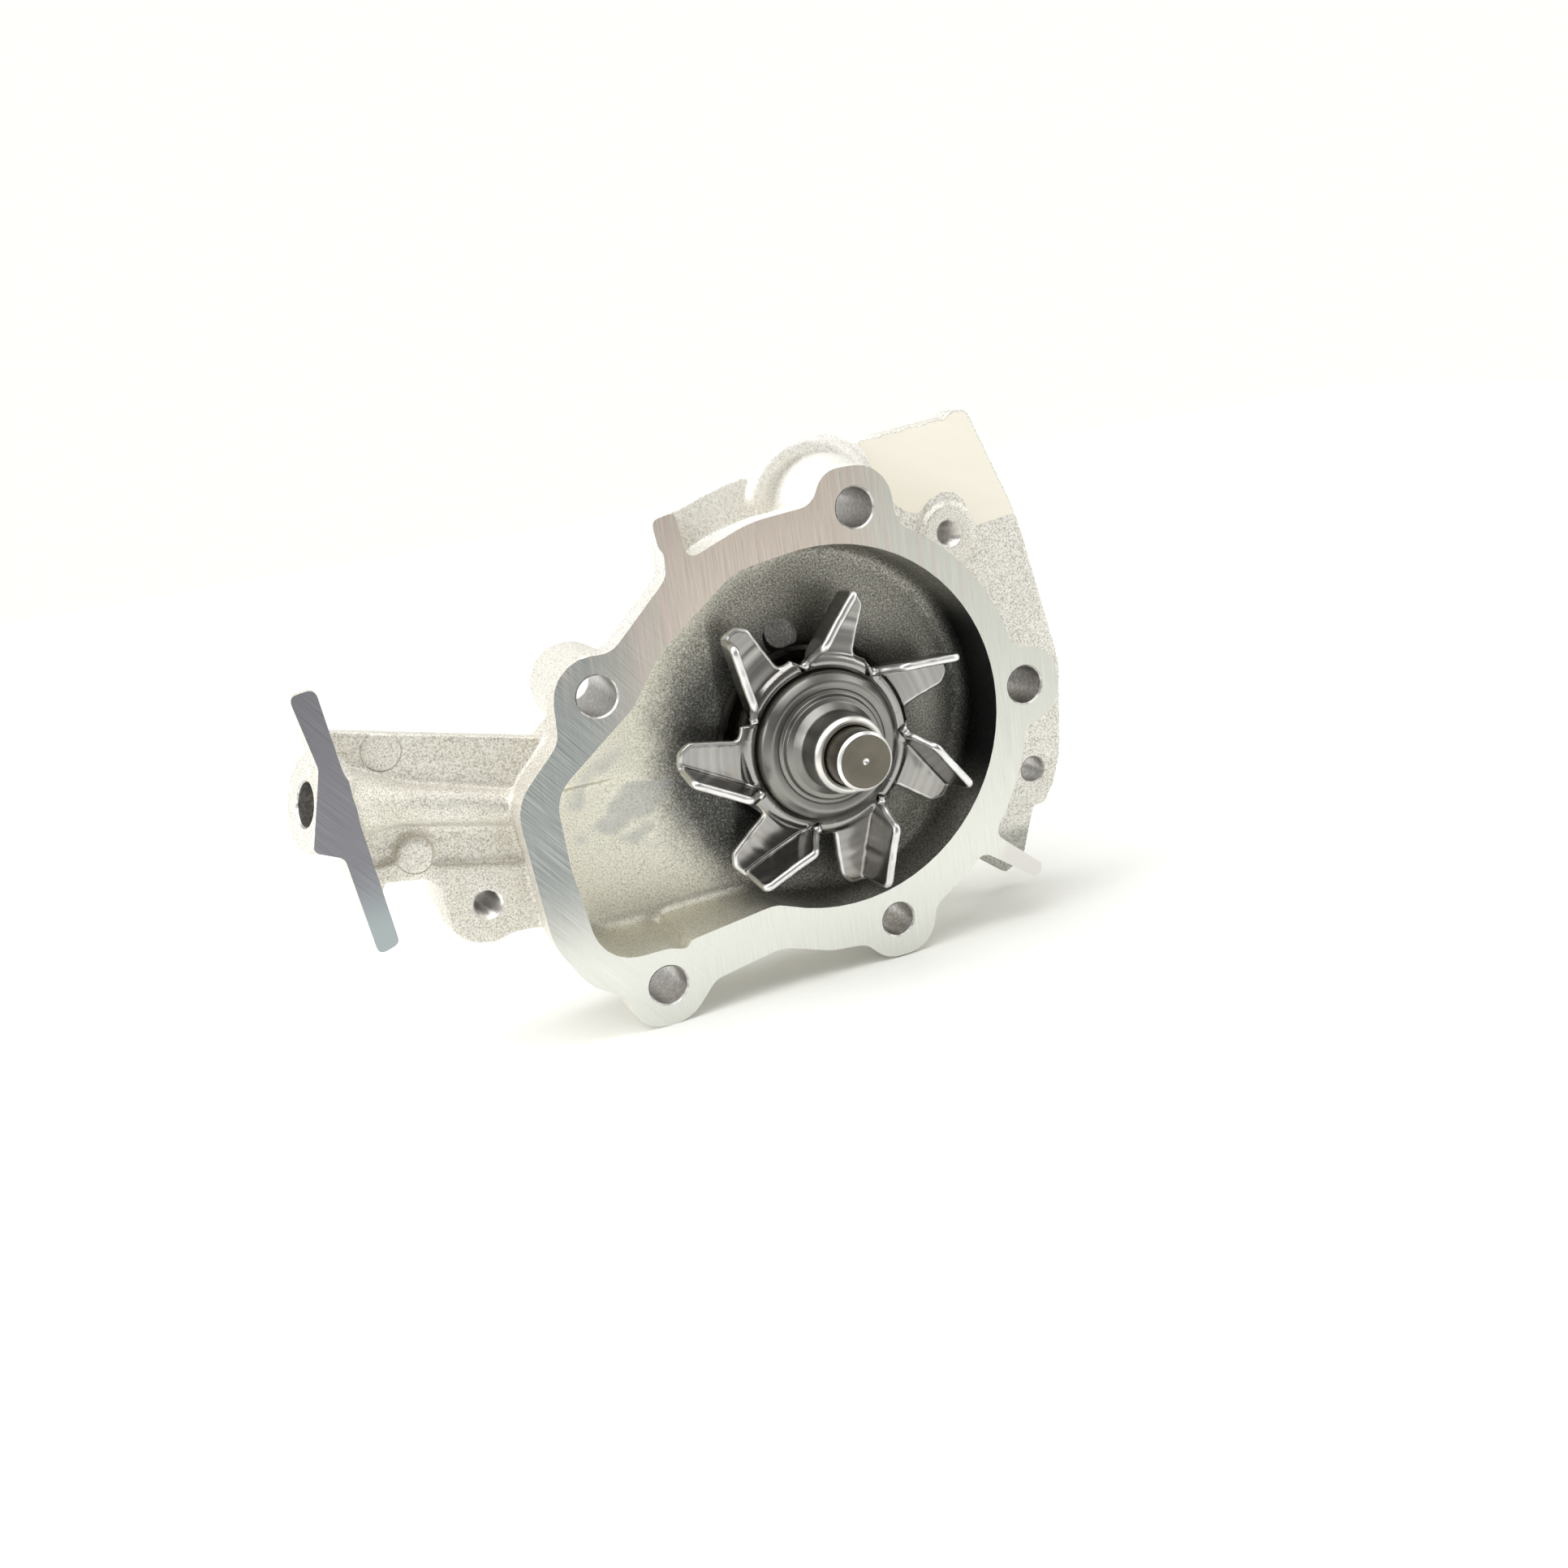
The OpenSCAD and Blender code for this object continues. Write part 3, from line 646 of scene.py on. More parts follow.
def within(loop, points):
    """Which of the points are inside a closed outline?"""
    x, z = np.asarray(points, float).T
    hit = np.zeros(len(x), bool)
    for (x0, z0), (x1, z1) in zip(loop, list(loop[1:]) + [loop[0]]):
        if z0 != z1:
            hit ^= ((z0 > z) != (z1 > z)) & (x < x0 + (z - z0) * (x1 - x0) / (z1 - z0))
    return hit


def resample(loop, step):
    """Points at even steps round a closed outline."""
    p = np.array(list(loop) + [loop[0]], float)
    lengths = np.linalg.norm(np.diff(p, axis=0), axis=1)
    along = np.concatenate([[0], np.cumsum(lengths)])
    count = max(8, int(along[-1] / step))
    at = np.linspace(0, along[-1], count, endpoint=False)
    return np.stack([np.interp(at, along, p[:, 0]), np.interp(at, along, p[:, 1])], axis=1)


CAVITY = min((loop for loop in mating_loops(frame["nodes"]["housing"].data) if within(loop, [(0, 0)])[0]),
             key=lambda loop: abs(area(loop)))


def cavity_fillet():
    """Closed band that fills the corner between the cavity's wall and its floor."""
    node = frame["nodes"]["housing"]
    cavity = resample(CAVITY, 1.0)
    if area(cavity) < 0:
        cavity = cavity[::-1]
    bm = bmesh.new()
    bm.from_mesh(node.data)
    tree = BVHTree.FromBMesh(bm)
    tangent = np.roll(cavity, -2, axis=0) - np.roll(cavity, 2, axis=0)
    inward = np.stack([-tangent[:, 1], tangent[:, 0]], axis=1)
    inward /= np.linalg.norm(inward, axis=1)[:, None]
    floors = []
    for p, n in zip(cavity, inward):
        x, z = p + n * FILLET
        hit = tree.ray_cast(Vector((x * MM, MM, z * MM)), Vector((0, 1, 0)))[0]
        floors.append(hit.y / MM if hit and hit.y / MM > 10 else 15.5)
    bm.free()
    floors = np.array(floors)
    for _ in range(6):
        floors = (np.roll(floors, 1) + floors * 2 + np.roll(floors, -1)) / 4
    angles = np.radians(np.linspace(180, 90, 7))
    section = [(FILLET + FILLET * math.cos(a), FILLET * math.sin(a) - FILLET) for a in angles]
    section = [(-1.2, -FILLET)] + section + [(FILLET, 1.2), (-1.2, 1.2)]
    points, faces, n, m = [], [], len(cavity), len(section)
    for p, direction, floor in zip(cavity, inward, floors):
        for offset, drop in section:
            x, z = p + direction * offset
            points.append((x, floor + drop, z))
    for i in range(n):
        for j in range(m):
            k, l = (i + 1) % n, (j + 1) % m
            faces.append((i * m + j, i * m + l, k * m + l, k * m + j))
    return weld(mesh_object("fillet", points, faces), 0.0001)


def prism(name, outline, y0, y1):
    """Straight-sided solid over an outline of x and z."""
    n = len(outline)
    points = [(x, y, z) for y in (y0, y1) for x, z in outline]
    faces = [tuple(range(n)), tuple(range(n, 2 * n))[::-1]]
    faces += [(i, (i + 1) % n, n + (i + 1) % n, n + i) for i in range(n)]
    return weld(mesh_object(name, points, faces))


def bead():
    """Round bar with blunt ends, bent over the top boss."""
    sides, caps = 20, np.radians(np.linspace(90, 0, 7))
    reach = math.degrees(BEAD_R / BEAD_RING)
    line = [(BEAD_FROM + reach * math.sin(t), math.cos(t)) for t in caps]
    line += [(a, 1.0) for a in np.linspace(BEAD_FROM, BEAD_TO, 50)[1:-1]]
    line += [(BEAD_TO - reach * math.sin(t), math.cos(t)) for t in caps[::-1]]
    points = []
    for a, swell in line:
        out = np.array([math.cos(math.radians(a)), 0, math.sin(math.radians(a))])
        for j in range(sides):
            b = 2 * math.pi * j / sides
            side = out * math.cos(b) + np.array([0, math.sin(b), 0])
            points.append(np.array(BEAD_AT) + out * BEAD_RING + side * BEAD_R * swell)
    return weld(mesh_object("bead", points, tube_faces(len(line) - 1, sides, capped=False)))


def soften(obj, line, reach, iterations):
    """Smooths the skin that lies within reach of a line."""
    mesh = obj.data
    co = np.empty(len(mesh.vertices) * 3)
    mesh.vertices.foreach_get("co", co)
    co = co.reshape(-1, 3) / MM
    gap = np.full(len(co), 1e9)
    for a, b in zip(line, line[1:]):
        a, b = np.array(a, float), np.array(b, float)
        t = np.clip((co - a) @ (b - a) / ((b - a) @ (b - a)), 0, 1)
        gap = np.minimum(gap, np.linalg.norm(co - a - t[:, None] * (b - a), axis=1))
    group = obj.vertex_groups.new(name="soft")
    group.add(np.flatnonzero(gap < reach).tolist(), 1.0, "REPLACE")
    modify(obj, "SMOOTH", factor=0.5, iterations=iterations, vertex_group="soft")
    obj.vertex_groups.clear()


def casting_blank():
    """The housing before machining: bores filled, stock on the mating face, and soft cast corners."""
    obj = mesh_object("housing_casting", [], [])
    obj.data = frame["nodes"]["housing"].data.copy()
    obj.data.name = "housing_casting"
    obj.data.materials.clear()
    weld(obj, 0.001)
    co = np.empty(len(obj.data.vertices) * 3)
    obj.data.vertices.foreach_get("co", co)
    co = co.reshape(-1, 3)
    co[np.abs(co[:, 1]) < 1e-6, 1] = -STOCK * MM
    obj.data.vertices.foreach_set("co", co.ravel())
    plugs = []
    for mount in ROUND_MOUNTS:
        mouth, into, r, length = mount_line(mount)
        start = -STOCK + 0.2 if abs(mouth[1]) < 1e-6 else 0.3
        plugs.append(revolve("plug", [(0, start), (r + 0.5, start), (r + 0.5, length - 0.4),
                                      (0, length - 0.4)],
                             mouth, into, 32))
    plugs.append(revolve("plug", [
        (0, POCKET_Y - 2), (22.4, POCKET_Y - 2), (22.4, POCKET_Y + 1), (CASE_R + 1, POCKET_Y + 1),
        (CASE_R + 1, CASE_END + 0.5), (BEARING_R + 1, CASE_END + 0.5), (BEARING_R + 1, SNOUT_END - 0.3),
        (0, SNOUT_END - 0.3)]))
    plugs.append(revolve("plug", [(0, FLOOR_Y), (RECESS_R + 0.3, FLOOR_Y), (RECESS_R + 0.3, 19), (0, 19)],
                         (RECESS_AT[0], 0, RECESS_AT[1]), (0, 1, 0), 32))
    plug_z = PLUG_LOW[2] + 1
    plugs.append(revolve("plug", [(0, plug_z), (5.4, plug_z), (5.4, PLUG_HIGH[2] + 1.2),
                                  (0, PLUG_HIGH[2] + 1.2)],
                         (0, (PLUG_LOW[1] + PLUG_HIGH[1]) / 2, 0), (0, 0, 1), 32))
    for tool in plugs + [bead()]:
        combine(obj, tool, "UNION")
    join_in = join("with_fillet", [obj, cavity_fillet()])
    join_in.name = join_in.data.name = "housing_casting"
    modify(join_in, "REMESH", mode="VOXEL", voxel_size=VOXEL * MM, use_smooth_shade=True)
    modify(join_in, "SMOOTH", factor=0.5, iterations=9)
    soften(join_in, BULGE, BULGE_REACH, 12)
    faces = 2 * len(join_in.data.polygons)
    modify(join_in, "DECIMATE", ratio=min(1.0, FINE_FACES * 0.86 / faces))
    return weld(join_in, 0.0005)


def machining_tools():
    """Cutters, as one list."""
    drills, spots = [], []
    for mount in ROUND_MOUNTS:
        mouth, into, r, length = mount_line(mount)
        flange = abs(mouth[1]) < 1e-6
        end = THROUGH if flange else length + (1.5 if mount["name"] != "arm_end_hole" else 0)
        c = CHAMFER
        if mount["kind"] == "threaded_hole":
            drills.append(thread_tap("tap", mouth, into, r - THREAD_IN, r + THREAD_OUT, 1.25, -0.9, end))
            c = THREAD_OUT
            spots.append(revolve("mouth", [(0, -0.6), (r + c, -0.6), (r + c, 0.25), (r - THREAD_IN, 0.8),
                                           (0, 0.8)],
                                 mouth, into, 48))
        else:
            tip = [(r, end - 0.5 * r if mount["name"] == "arm_end_hole" else end), (0, end)]
            drills.append(revolve("drill", [(0, -0.6), (r + c, -0.6), (r + c, 0), (r, c)] + tip, mouth,
                                  into, 96))
        if mount["name"] in SPOT_R:
            back = length - 0.3
            spots.append(revolve("spot", [
                (0, back), (SPOT_R[mount["name"]], back), (SPOT_R[mount["name"]], back + 8),
                (0, back + 8)],
                mouth, into, 96))
    bore = revolve("bore", [
        (0, POCKET_Y - 5.4), (24.0, POCKET_Y - 5.4), (23.5, POCKET_Y - 4.5), (21.6, POCKET_Y),
        (CASE_R + 0.5, POCKET_Y), (CASE_R, POCKET_Y + 0.5), (CASE_R, CASE_END), (DRAIN_R, CASE_END),
        (DRAIN_R, BEARING_LOW[1]), (BEARING_R, BEARING_LOW[1]), (BEARING_R, SNOUT_END - 0.7),
        (BEARING_R + 0.7, SNOUT_END),
        (24, SNOUT_END), (24, SNOUT_END + 4), (0, SNOUT_END + 4)], segments=192)
    recess = revolve("recess", [(0, 14.5), (RECESS_R, 14.5), (RECESS_R, 18), (0, 18.6)],
                     (RECESS_AT[0], 0, RECESS_AT[1]), (0, 1, 0), 64)
    mid_y = (PLUG_LOW[1] + PLUG_HIGH[1]) / 2
    counterbore = revolve("counterbore", [
        (0, PLUG_LOW[2]), (5.0, PLUG_LOW[2]), (5.0, PLUG_HIGH[2] + 0.9), (5.5, PLUG_HIGH[2] + 1.4),
        (5.5, PLUG_HIGH[2] + 4), (0, PLUG_HIGH[2] + 4)], (0, mid_y, 0), (0, 0, 1), 96)
    marks = [
        revolve("mark", [(PIN_R, y - 1.5), (PIN_R + 0.4, y - 1.5), (PIN_R + 0.4, y),
                         (PIN_R + 0.2, y + 0.18),
                         (PIN_R, y)], (x, 0, z), (0, 1, 0), 64)
        for (x, z), y in PIN_MARKS
    ]
    face = slab("face", (-140, -12, -80), (90, 0, 90))
    patch = prism("patch", PATCH_OUTLINE, PLATE_Y - 2.5, PLATE_Y + 0.05)
    return [face, *drills, *spots, bore, recess, counterbore, *marks, patch]


FINISHES = (CAST, MILLED, DRILLED, BORED, FACED, RECESS, VOLUTE, PATCH, THREADED)


def mark_machined(obj):
    """Gives each face of the casting the finish of the tool that left it."""
    mesh = obj.data
    for material in FINISHES:
        mesh.materials.append(material)
    cast, milled, drilled, bored, faced, recess, volute, patch, threaded = range(len(FINISHES))
    n = len(mesh.polygons)
    centre, normal = np.empty(n * 3), np.empty(n * 3)
    mesh.polygons.foreach_get("center", centre)
    mesh.polygons.foreach_get("normal", normal)
    centre, normal = centre.reshape(-1, 3) / MM, normal.reshape(-1, 3)
    kind = np.full(n, cast, np.int32)
    bm = bmesh.new()
    bm.from_mesh(mesh)
    tree = BVHTree.FromBMesh(bm)
    bm.free()
    deep = (centre[:, 1] > 0.02) & (centre[:, 1] < FLOOR_Y + 8) & within(CAVITY, centre[:, [0, 2]]
                                                                         + normal[:, [0, 2]])
    for i in np.flatnonzero(deep):
        start = Vector((centre[i] + 0.2 * normal[i]) * MM)
        if tree.ray_cast(start, Vector((0, -1, 0)))[0] is None:
            kind[i] = volute
    kind[(np.abs(centre[:, 1]) < 0.01) & (normal[:, 1] < -0.99)] = milled
    flush = (np.abs(centre[:, 1] - PLATE_Y - 0.05) < 0.01) & (normal[:, 1] < -0.99)
    kind[flush & within(PATCH_OUTLINE, centre[:, [0, 2]])] = patch
    for mount in ROUND_MOUNTS:
        mouth, into, r, length = mount_line(mount)
        along = (centre - mouth) @ into
        off = np.linalg.norm(centre - mouth - along[:, None] * into, axis=1)
        faces_in = ((centre - mouth - along[:, None] * into) * normal).sum(1) < -0.2 * off
        in_hole = (off < r + 0.9) & (along > 0.02) & (along < length + 4) & (faces_in | (off < r - 0.6))
        kind[in_hole] = threaded if mount["kind"] == "threaded_hole" else drilled
        spot = SPOT_R.get(mount["name"], 0)
        kind[(off < spot) & (np.abs(along - (length - 0.3)) < 0.02) & (normal @ into > 0.9)] = faced
    radius = np.hypot(centre[:, 0], centre[:, 2])
    inward = (centre[:, 0] * normal[:, 0] + centre[:, 2] * normal[:, 2]) / np.maximum(radius, 0.01) < -0.5
    bore_r = np.where(centre[:, 1] < POCKET_Y, 23.6, CASE_R + 0.6)
    in_bore = (radius < bore_r) & (inward | (radius < BEARING_R + 0.05))
    kind[in_bore & (centre[:, 1] > POCKET_Y - 4.45) & (centre[:, 1] < SNOUT_END - 0.05)] = bored
    kind[(np.abs(centre[:, 1] - POCKET_Y) < 0.02) & (radius < 21.6) & (normal[:, 1] < -0.9)] = bored
    kind[(np.abs(centre[:, 1] - SNOUT_END) < 0.02) & (radius < 24) & (normal[:, 1] > 0.9)] = faced
    beside = np.hypot(centre[:, 0] - RECESS_AT[0], centre[:, 2] - RECESS_AT[1])
    kind[(beside < RECESS_R + 0.02) & (centre[:, 1] > POCKET_Y - 4.2) & (centre[:, 1] < 18.7)
         & (radius > 21.5)] = recess
    mesh.polygons.foreach_set("material_index", kind)


def housing():
    obj = casting_blank()
    for tool in machining_tools():
        combine(obj, tool, "DIFFERENCE")
    obj.data.materials.clear()
    mark_machined(obj)
    shade(obj, 38)
    place(obj, HOUSING_BODY, replaces=["housing"])


# ---------------------------------------------------------------- impeller

SHEET_T = 1.6
PLATE_LOW = box_mm("impeller_vane_plate")[0]
PLATE_MID = 8.0 + SHEET_T / 2
VANES = 7
PITCH = 360 / VANES
FIRST_VANE = 26.7
RIM_ROUND = 0.92
BEND_R = 1.7
ROOT_R = 21.3  # inner end of the gaps between the blades
THICKER = 0.2  # half of what the blades have more than the hub's face
LEAN = 8.0


def polar(r, degrees):
    return r * np.array([math.cos(math.radians(degrees)), math.sin(math.radians(degrees))])


class VaneSheet:
    """One seventh of the vane plate: a flat pattern that is dished, bent up along the vane's fold, and given
    thickness with rounded edges."""

    def __init__(self):
        self.tip, self.root = polar(36.0, -2.2), polar(20.8, 22.2)
        self.along = (self.root - self.tip) / np.linalg.norm(self.root - self.tip)
        self.out = np.array([self.along[1], -self.along[0]])
        self.bend_at = -(BEND_R + SHEET_T / 2)
        self.angle = math.radians(90 - LEAN)
        self.bend_length = BEND_R * self.angle
        rise = PLATE_MID - PLATE_LOW[1] - BEND_R * (1 - math.cos(self.angle))
        self.end = self.bend_length + rise / math.sin(self.angle) - 0.05

    def on_fold(self, a, s):
        """Point of the flat pattern, a along the fold from the tip and s beyond the start of the bend."""
        return self.tip + self.along * a + self.out * (self.bend_at + s)

    def lift(self, p):
        """How far the plate stands forward of its plane: a bead round the hub, fading along each blade."""
        r = np.hypot(p[..., 0], p[..., 1])
        bead = 1.5 * np.exp(-(((r - 19.4) / 1.3) ** 2))
        dish = 0.75 / (1 + np.exp((r - 25.0) / 1.3)) / (1 + np.exp((18.2 - r) / 0.3))
        crease = 0.12 * np.exp(-(((r - 29.0) / 0.7) ** 2))
        return bead + dish + crease

    def solid(self, p):
        """Middle of the sheet in x, y, z for points of the flat pattern."""
        rel = p - self.tip
        a, n = rel @ self.along, rel @ self.out
        s = n - self.bend_at
        base = self.tip + a[..., None] * self.along + self.bend_at * self.out
        beyond = s > 0
        r = np.hypot(p[..., 0], p[..., 1])
        beyond &= (r > 19.5) & (a < np.linalg.norm(self.root - self.tip) + 1.2)
        turn = np.clip(s, 0, self.bend_length) / BEND_R
        rest = np.clip(s - self.bend_length, 0, None)
        reach = BEND_R * np.sin(turn) + rest * math.cos(self.angle)
        height = BEND_R * (1 - np.cos(turn)) + rest * math.sin(self.angle)
        folded = base + reach[..., None] * self.out
        flat = np.where(beyond[..., None], folded, p)
        lift = np.where(beyond, self.lift(base), self.lift(p))
        y = PLATE_MID - lift - np.where(beyond, height, 0)
        return np.stack([flat[..., 0], y, flat[..., 1]], axis=-1)

    def normals(self, p, e=0.02):
        """Unit normals of the sheet that point towards the engine side or the back of the vane."""
        dx = self.solid(p + [e, 0]) - self.solid(p - [e, 0])
        dz = self.solid(p + [0, e]) - self.solid(p - [0, e])
        n = np.cross(dx, dz)
        return n / np.linalg.norm(n, axis=-1)[..., None]

    def rim(self):
        """Outer edge of the pattern from one seam to the next, inset by the rounding of the edge."""
        front = self.end - RIM_ROUND
        run = np.linalg.norm(self.root - self.tip)
        corners = [
            (*polar(ROOT_R, 36.4 - PITCH), 1.0), (*polar(22.4, -13.0), 1.8), (*polar(33.3, -12.3), 1.2),
            (*polar(35.2, -9.3), 0.8), (*polar(35.6, -2.9), 0.8), (*self.on_fold(0.5, 0.8), 0.4),
            (*self.on_fold(0.2, front), 1.3), (*self.on_fold(14.2, front), 1.6),
            (*self.on_fold(run - 1.3, 4.2), 1.5), (*self.on_fold(run - 0.8, 1.2), 0.5),
            (*polar(21.4, 25.5), 0.8), (*polar(20.9, 28.5), 1.2), (*polar(20.9, 34), 1.2),
            (*polar(ROOT_R, 36.4), 1.0),
            (*polar(22.4, 38.4), 0),
        ]
        points = rounded(corners, closed=False)
        seam_a, seam_b = 36.6 - PITCH, 36.6
        return points, seam_a, seam_b


def between(points, step):
    """Points at even steps along an open line."""
    p = np.array(points, float)
    lengths = np.linalg.norm(np.diff(p, axis=0), axis=1)
    along = np.concatenate([[0], np.cumsum(lengths)])
    at = np.linspace(0, along[-1], max(2, int(round(along[-1] / step)) + 1))
    return np.stack([np.interp(at, along, p[:, 0]), np.interp(at, along, p[:, 1])], axis=1)


def vane_plate():
    sheet = VaneSheet()
    step, inner_r = 0.55, 7.6
    outline, seam_a, seam_b = sheet.rim()
    seam_r = ROOT_R
    kept_rim = [p for p in outline[1:-1] if seam_a < math.degrees(math.atan2(p[1], p[0]))]
    rim = np.array([polar(seam_r, seam_a)] + kept_rim
                   + [polar(seam_r, seam_b)])
    rim = between(rim, step)
    seam = np.linspace(inner_r, seam_r, 24)
    first = [polar(r, seam_a) for r in seam[:-1]]
    last = [polar(r, seam_b) for r in seam[::-1][1:]]
    hole = [polar(inner_r, a) for a in np.linspace(seam_b, seam_a, 14)[1:-1]]
    border = np.array(first + list(rim) + last + hole)
    low, high = border.min(0), border.max(0)
    grid = [
        (x + (step / 2 if row % 2 else 0), z)
        for row, z in enumerate(np.arange(low[1], high[1], step * 0.87))
        for x in np.arange(low[0], high[0], step)
    ]
    ring = [tuple(p) for p in border]
    edge_a, edge_b = border, np.roll(border, -1, axis=0)
    kept = []
    for p in np.array(grid)[within(ring, grid)]:
        t = np.clip(((p - edge_a) * (edge_b - edge_a)).sum(1) / ((edge_b - edge_a) ** 2).sum(1), 0, 1)
        gap = np.linalg.norm(p - (edge_a + t[:, None] * (edge_b - edge_a)), axis=1).min()
        if gap > 0.42 * step:
            kept.append(p)
    everything = [Vector(p) for p in border] + [Vector(p) for p in kept]
    edges = [(i, (i + 1) % len(border)) for i in range(len(border))]
    made = delaunay_2d_cdt(everything, edges, [], 1, 1e-5)
    flat = np.array([tuple(v) for v in made[0]])
    triangles = [tuple(t) for t in made[2]]
    middle, normal = sheet.solid(flat), sheet.normals(flat)
    if np.mean(normal[:, 1]) > 0:
        normal = -normal
    half = SHEET_T / 2 + THICKER * np.clip((np.hypot(flat[:, 0], flat[:, 1]) - 16) / 4, 0, 1)
    count = len(flat)
    points = np.concatenate([middle + normal * half[:, None], middle - normal * half[:, None]])
    faces = [t for t in triangles] + [tuple(count + i for i in t[::-1]) for t in triangles]
    tags = [0] * len(faces)
    # rounded rim from the front skin to the back one, along the outer edge and the hole
    lookup = {}
    for new, olds in enumerate(made[3]):
        for old in olds:
            if old < len(border):
                lookup[old] = new
    start, stop = len(first), len(first) + len(rim)
    hole_from = stop + len(last) - 1
    spans = [(start, stop - 1), (hole_from, hole_from + len(hole) + 1)]
    steps = 6
    extra = []
    for a, b in spans:
        ids = [lookup[i % len(border)] for i in range(a, b + 1)]
        line = flat[ids]
        ahead = np.gradient(line, axis=0)
        outward = np.stack([ahead[:, 1], -ahead[:, 0]], axis=1)
        outward /= np.linalg.norm(outward, axis=1)[:, None]
        e = 0.02
        side = sheet.solid(line + outward * e) - sheet.solid(line - outward * e)
        side /= np.linalg.norm(side, axis=1)[:, None]
        up = normal[ids]
        side -= (side * up).sum(1)[:, None] * up
        side /= np.linalg.norm(side, axis=1)[:, None]
        rows = [ids]
        round_r = RIM_ROUND if a == start else 0.3
        for k in range(1, steps):
            turn = math.pi / 2 - math.pi * k / steps
            level = np.sign(round(math.sin(turn), 9)) * (half[ids] - round_r)
            drop = math.sin(turn) * round_r + level
            first_id = 2 * count + sum(len(x) for x in extra)
            extra.append(middle[ids] + side * (round_r * math.cos(turn)) + up * drop[:, None])
            rows.append([first_id + i for i in range(len(ids))])
        rows.append([count + i for i in ids])
        for upper, lower in zip(rows, rows[1:]):
            for i in range(len(ids) - 1):
                faces.append((upper[i], lower[i], lower[i + 1], upper[i + 1]))
                tags.append(1)
    points = np.concatenate([points] + extra)
    all_points, all_faces, all_tags = [], [], []
    for v in range(VANES):
        a = math.radians(FIRST_VANE + v * PITCH)
        c, s = math.cos(a), math.sin(a)
        x, y, z = points.T
        turned = np.stack([x * c - z * s, y, x * s + z * c], axis=1)
        first_id = v * len(points)
        all_points.append(turned)
        all_faces += [tuple(first_id + i for i in f) for f in faces]
        all_tags += tags
    obj = mesh_object("vane_plate", np.concatenate(all_points), all_faces)
    obj.data.materials.append(SHEET)
    obj.data.materials.append(EDGE)
    obj.data.polygons.foreach_set("material_index", all_tags)
    weld(obj, 0.004)
    shade(obj, 78)
    place(obj, ROTOR, replaces=["impeller_vane_plate"])


def impeller_hub():
    obj = revolve("hub_rings", [
        (6.82, -7.3, 0.2), (7.2, -8.1, 0.35), (8.1, -8.35, 0.6), (9.1, -7.3, 1.0), (9.15, -0.6, 1.3),
        (10.9, 1.3, 0.8), (12.0, 1.7, 0.5), (12.5, 2.9, 0.5), (13.3, 3.3, 0.25), (13.7, 2.9, 0.4),
        (15.4, 2.6, 1.3), (17.6, 4.3, 1.9), (17.7, 7.9, 0.3), (17, 7.95, 0.3), (16.6, 7.4, 0.4),
        (14.4, 7, 0.8), (13.2, 4.9, 0.8), (11.2, 4, 0.6),
        (10.4, 1.9, 0.8), (9, 1.2, 0.5), (6.82, 0, 0.2)], segments=176)
    shade(obj, 40)
    place(obj, ROTOR,
          turned_face("drawn_steel", (0.27, 0.265, 0.25), roughness=0.34, line=0.5, tarnish=0.1,
                      depth=0.02),
          ["impeller_hub"])
    # the collar's nose gets a lighter steel: a painted highlight
    obj.data.materials.append(turned_face("worn_steel", (0.72, 0.71, 0.68), roughness=0.32, tarnish=0.1))
    for polygon in obj.data.polygons:
        polygon.material_index = 1 if polygon.center.y / MM < -6.9 else 0


def shaft():
    """Ground shaft: dimpled and chamfered nose, ball groove, and the end that centres the pulley."""
    nose_y, end_y = box_mm("pump_shaft")[0][1], box_mm("pump_shaft")[1][1]
    groove = [(9.63 - 2.54 * math.cos(a), 46.5 + 2.54 * math.sin(a))
              for a in np.radians(np.linspace(-48.8, 48.8, 9))]
    obj = revolve("shaft", [
        (0, nose_y + 0.55, 0), (0.35, nose_y + 0.35, 0.1), (0.8, nose_y + 0.05, 0.15),
        (6.15, nose_y, 0.12),
        (6.8, nose_y + 0.65, 0.12), (6.8, -8.0, 0), (6.8, 38.2, 0), (7.96, 38.8, 0.2)] + groove + [
        (7.96, 87, 0), (7.5, 87.02, 0), (7.5, end_y - 0.6, 0.2), (6.9, end_y, 0.2), (1.2, end_y, 0),
        (0, end_y - 1.1, 0)],
        segments=144)
    shade(obj, 25)
    ground = turned_face("ground_steel", (0.155, 0.14, 0.115), roughness=0.34, line=0.2, tarnish=0.15)
    place(obj, ROTOR, ground, ["pump_shaft"])
    # the chamfer round the nose and the bottom of its dimple take the lighter edge material: partly worn
    # metal and partly a painted highlight
    obj.data.materials.append(EDGE)
    for polygon in obj.data.polygons:
        x, y, z = polygon.center / MM
        r = math.hypot(x, z)
        if (y < nose_y + 0.7 and r > 6.1) or (y < nose_y + 0.6 and r < 0.7):
            polygon.material_index = 1


# ---------------------------------------------------------------- seal


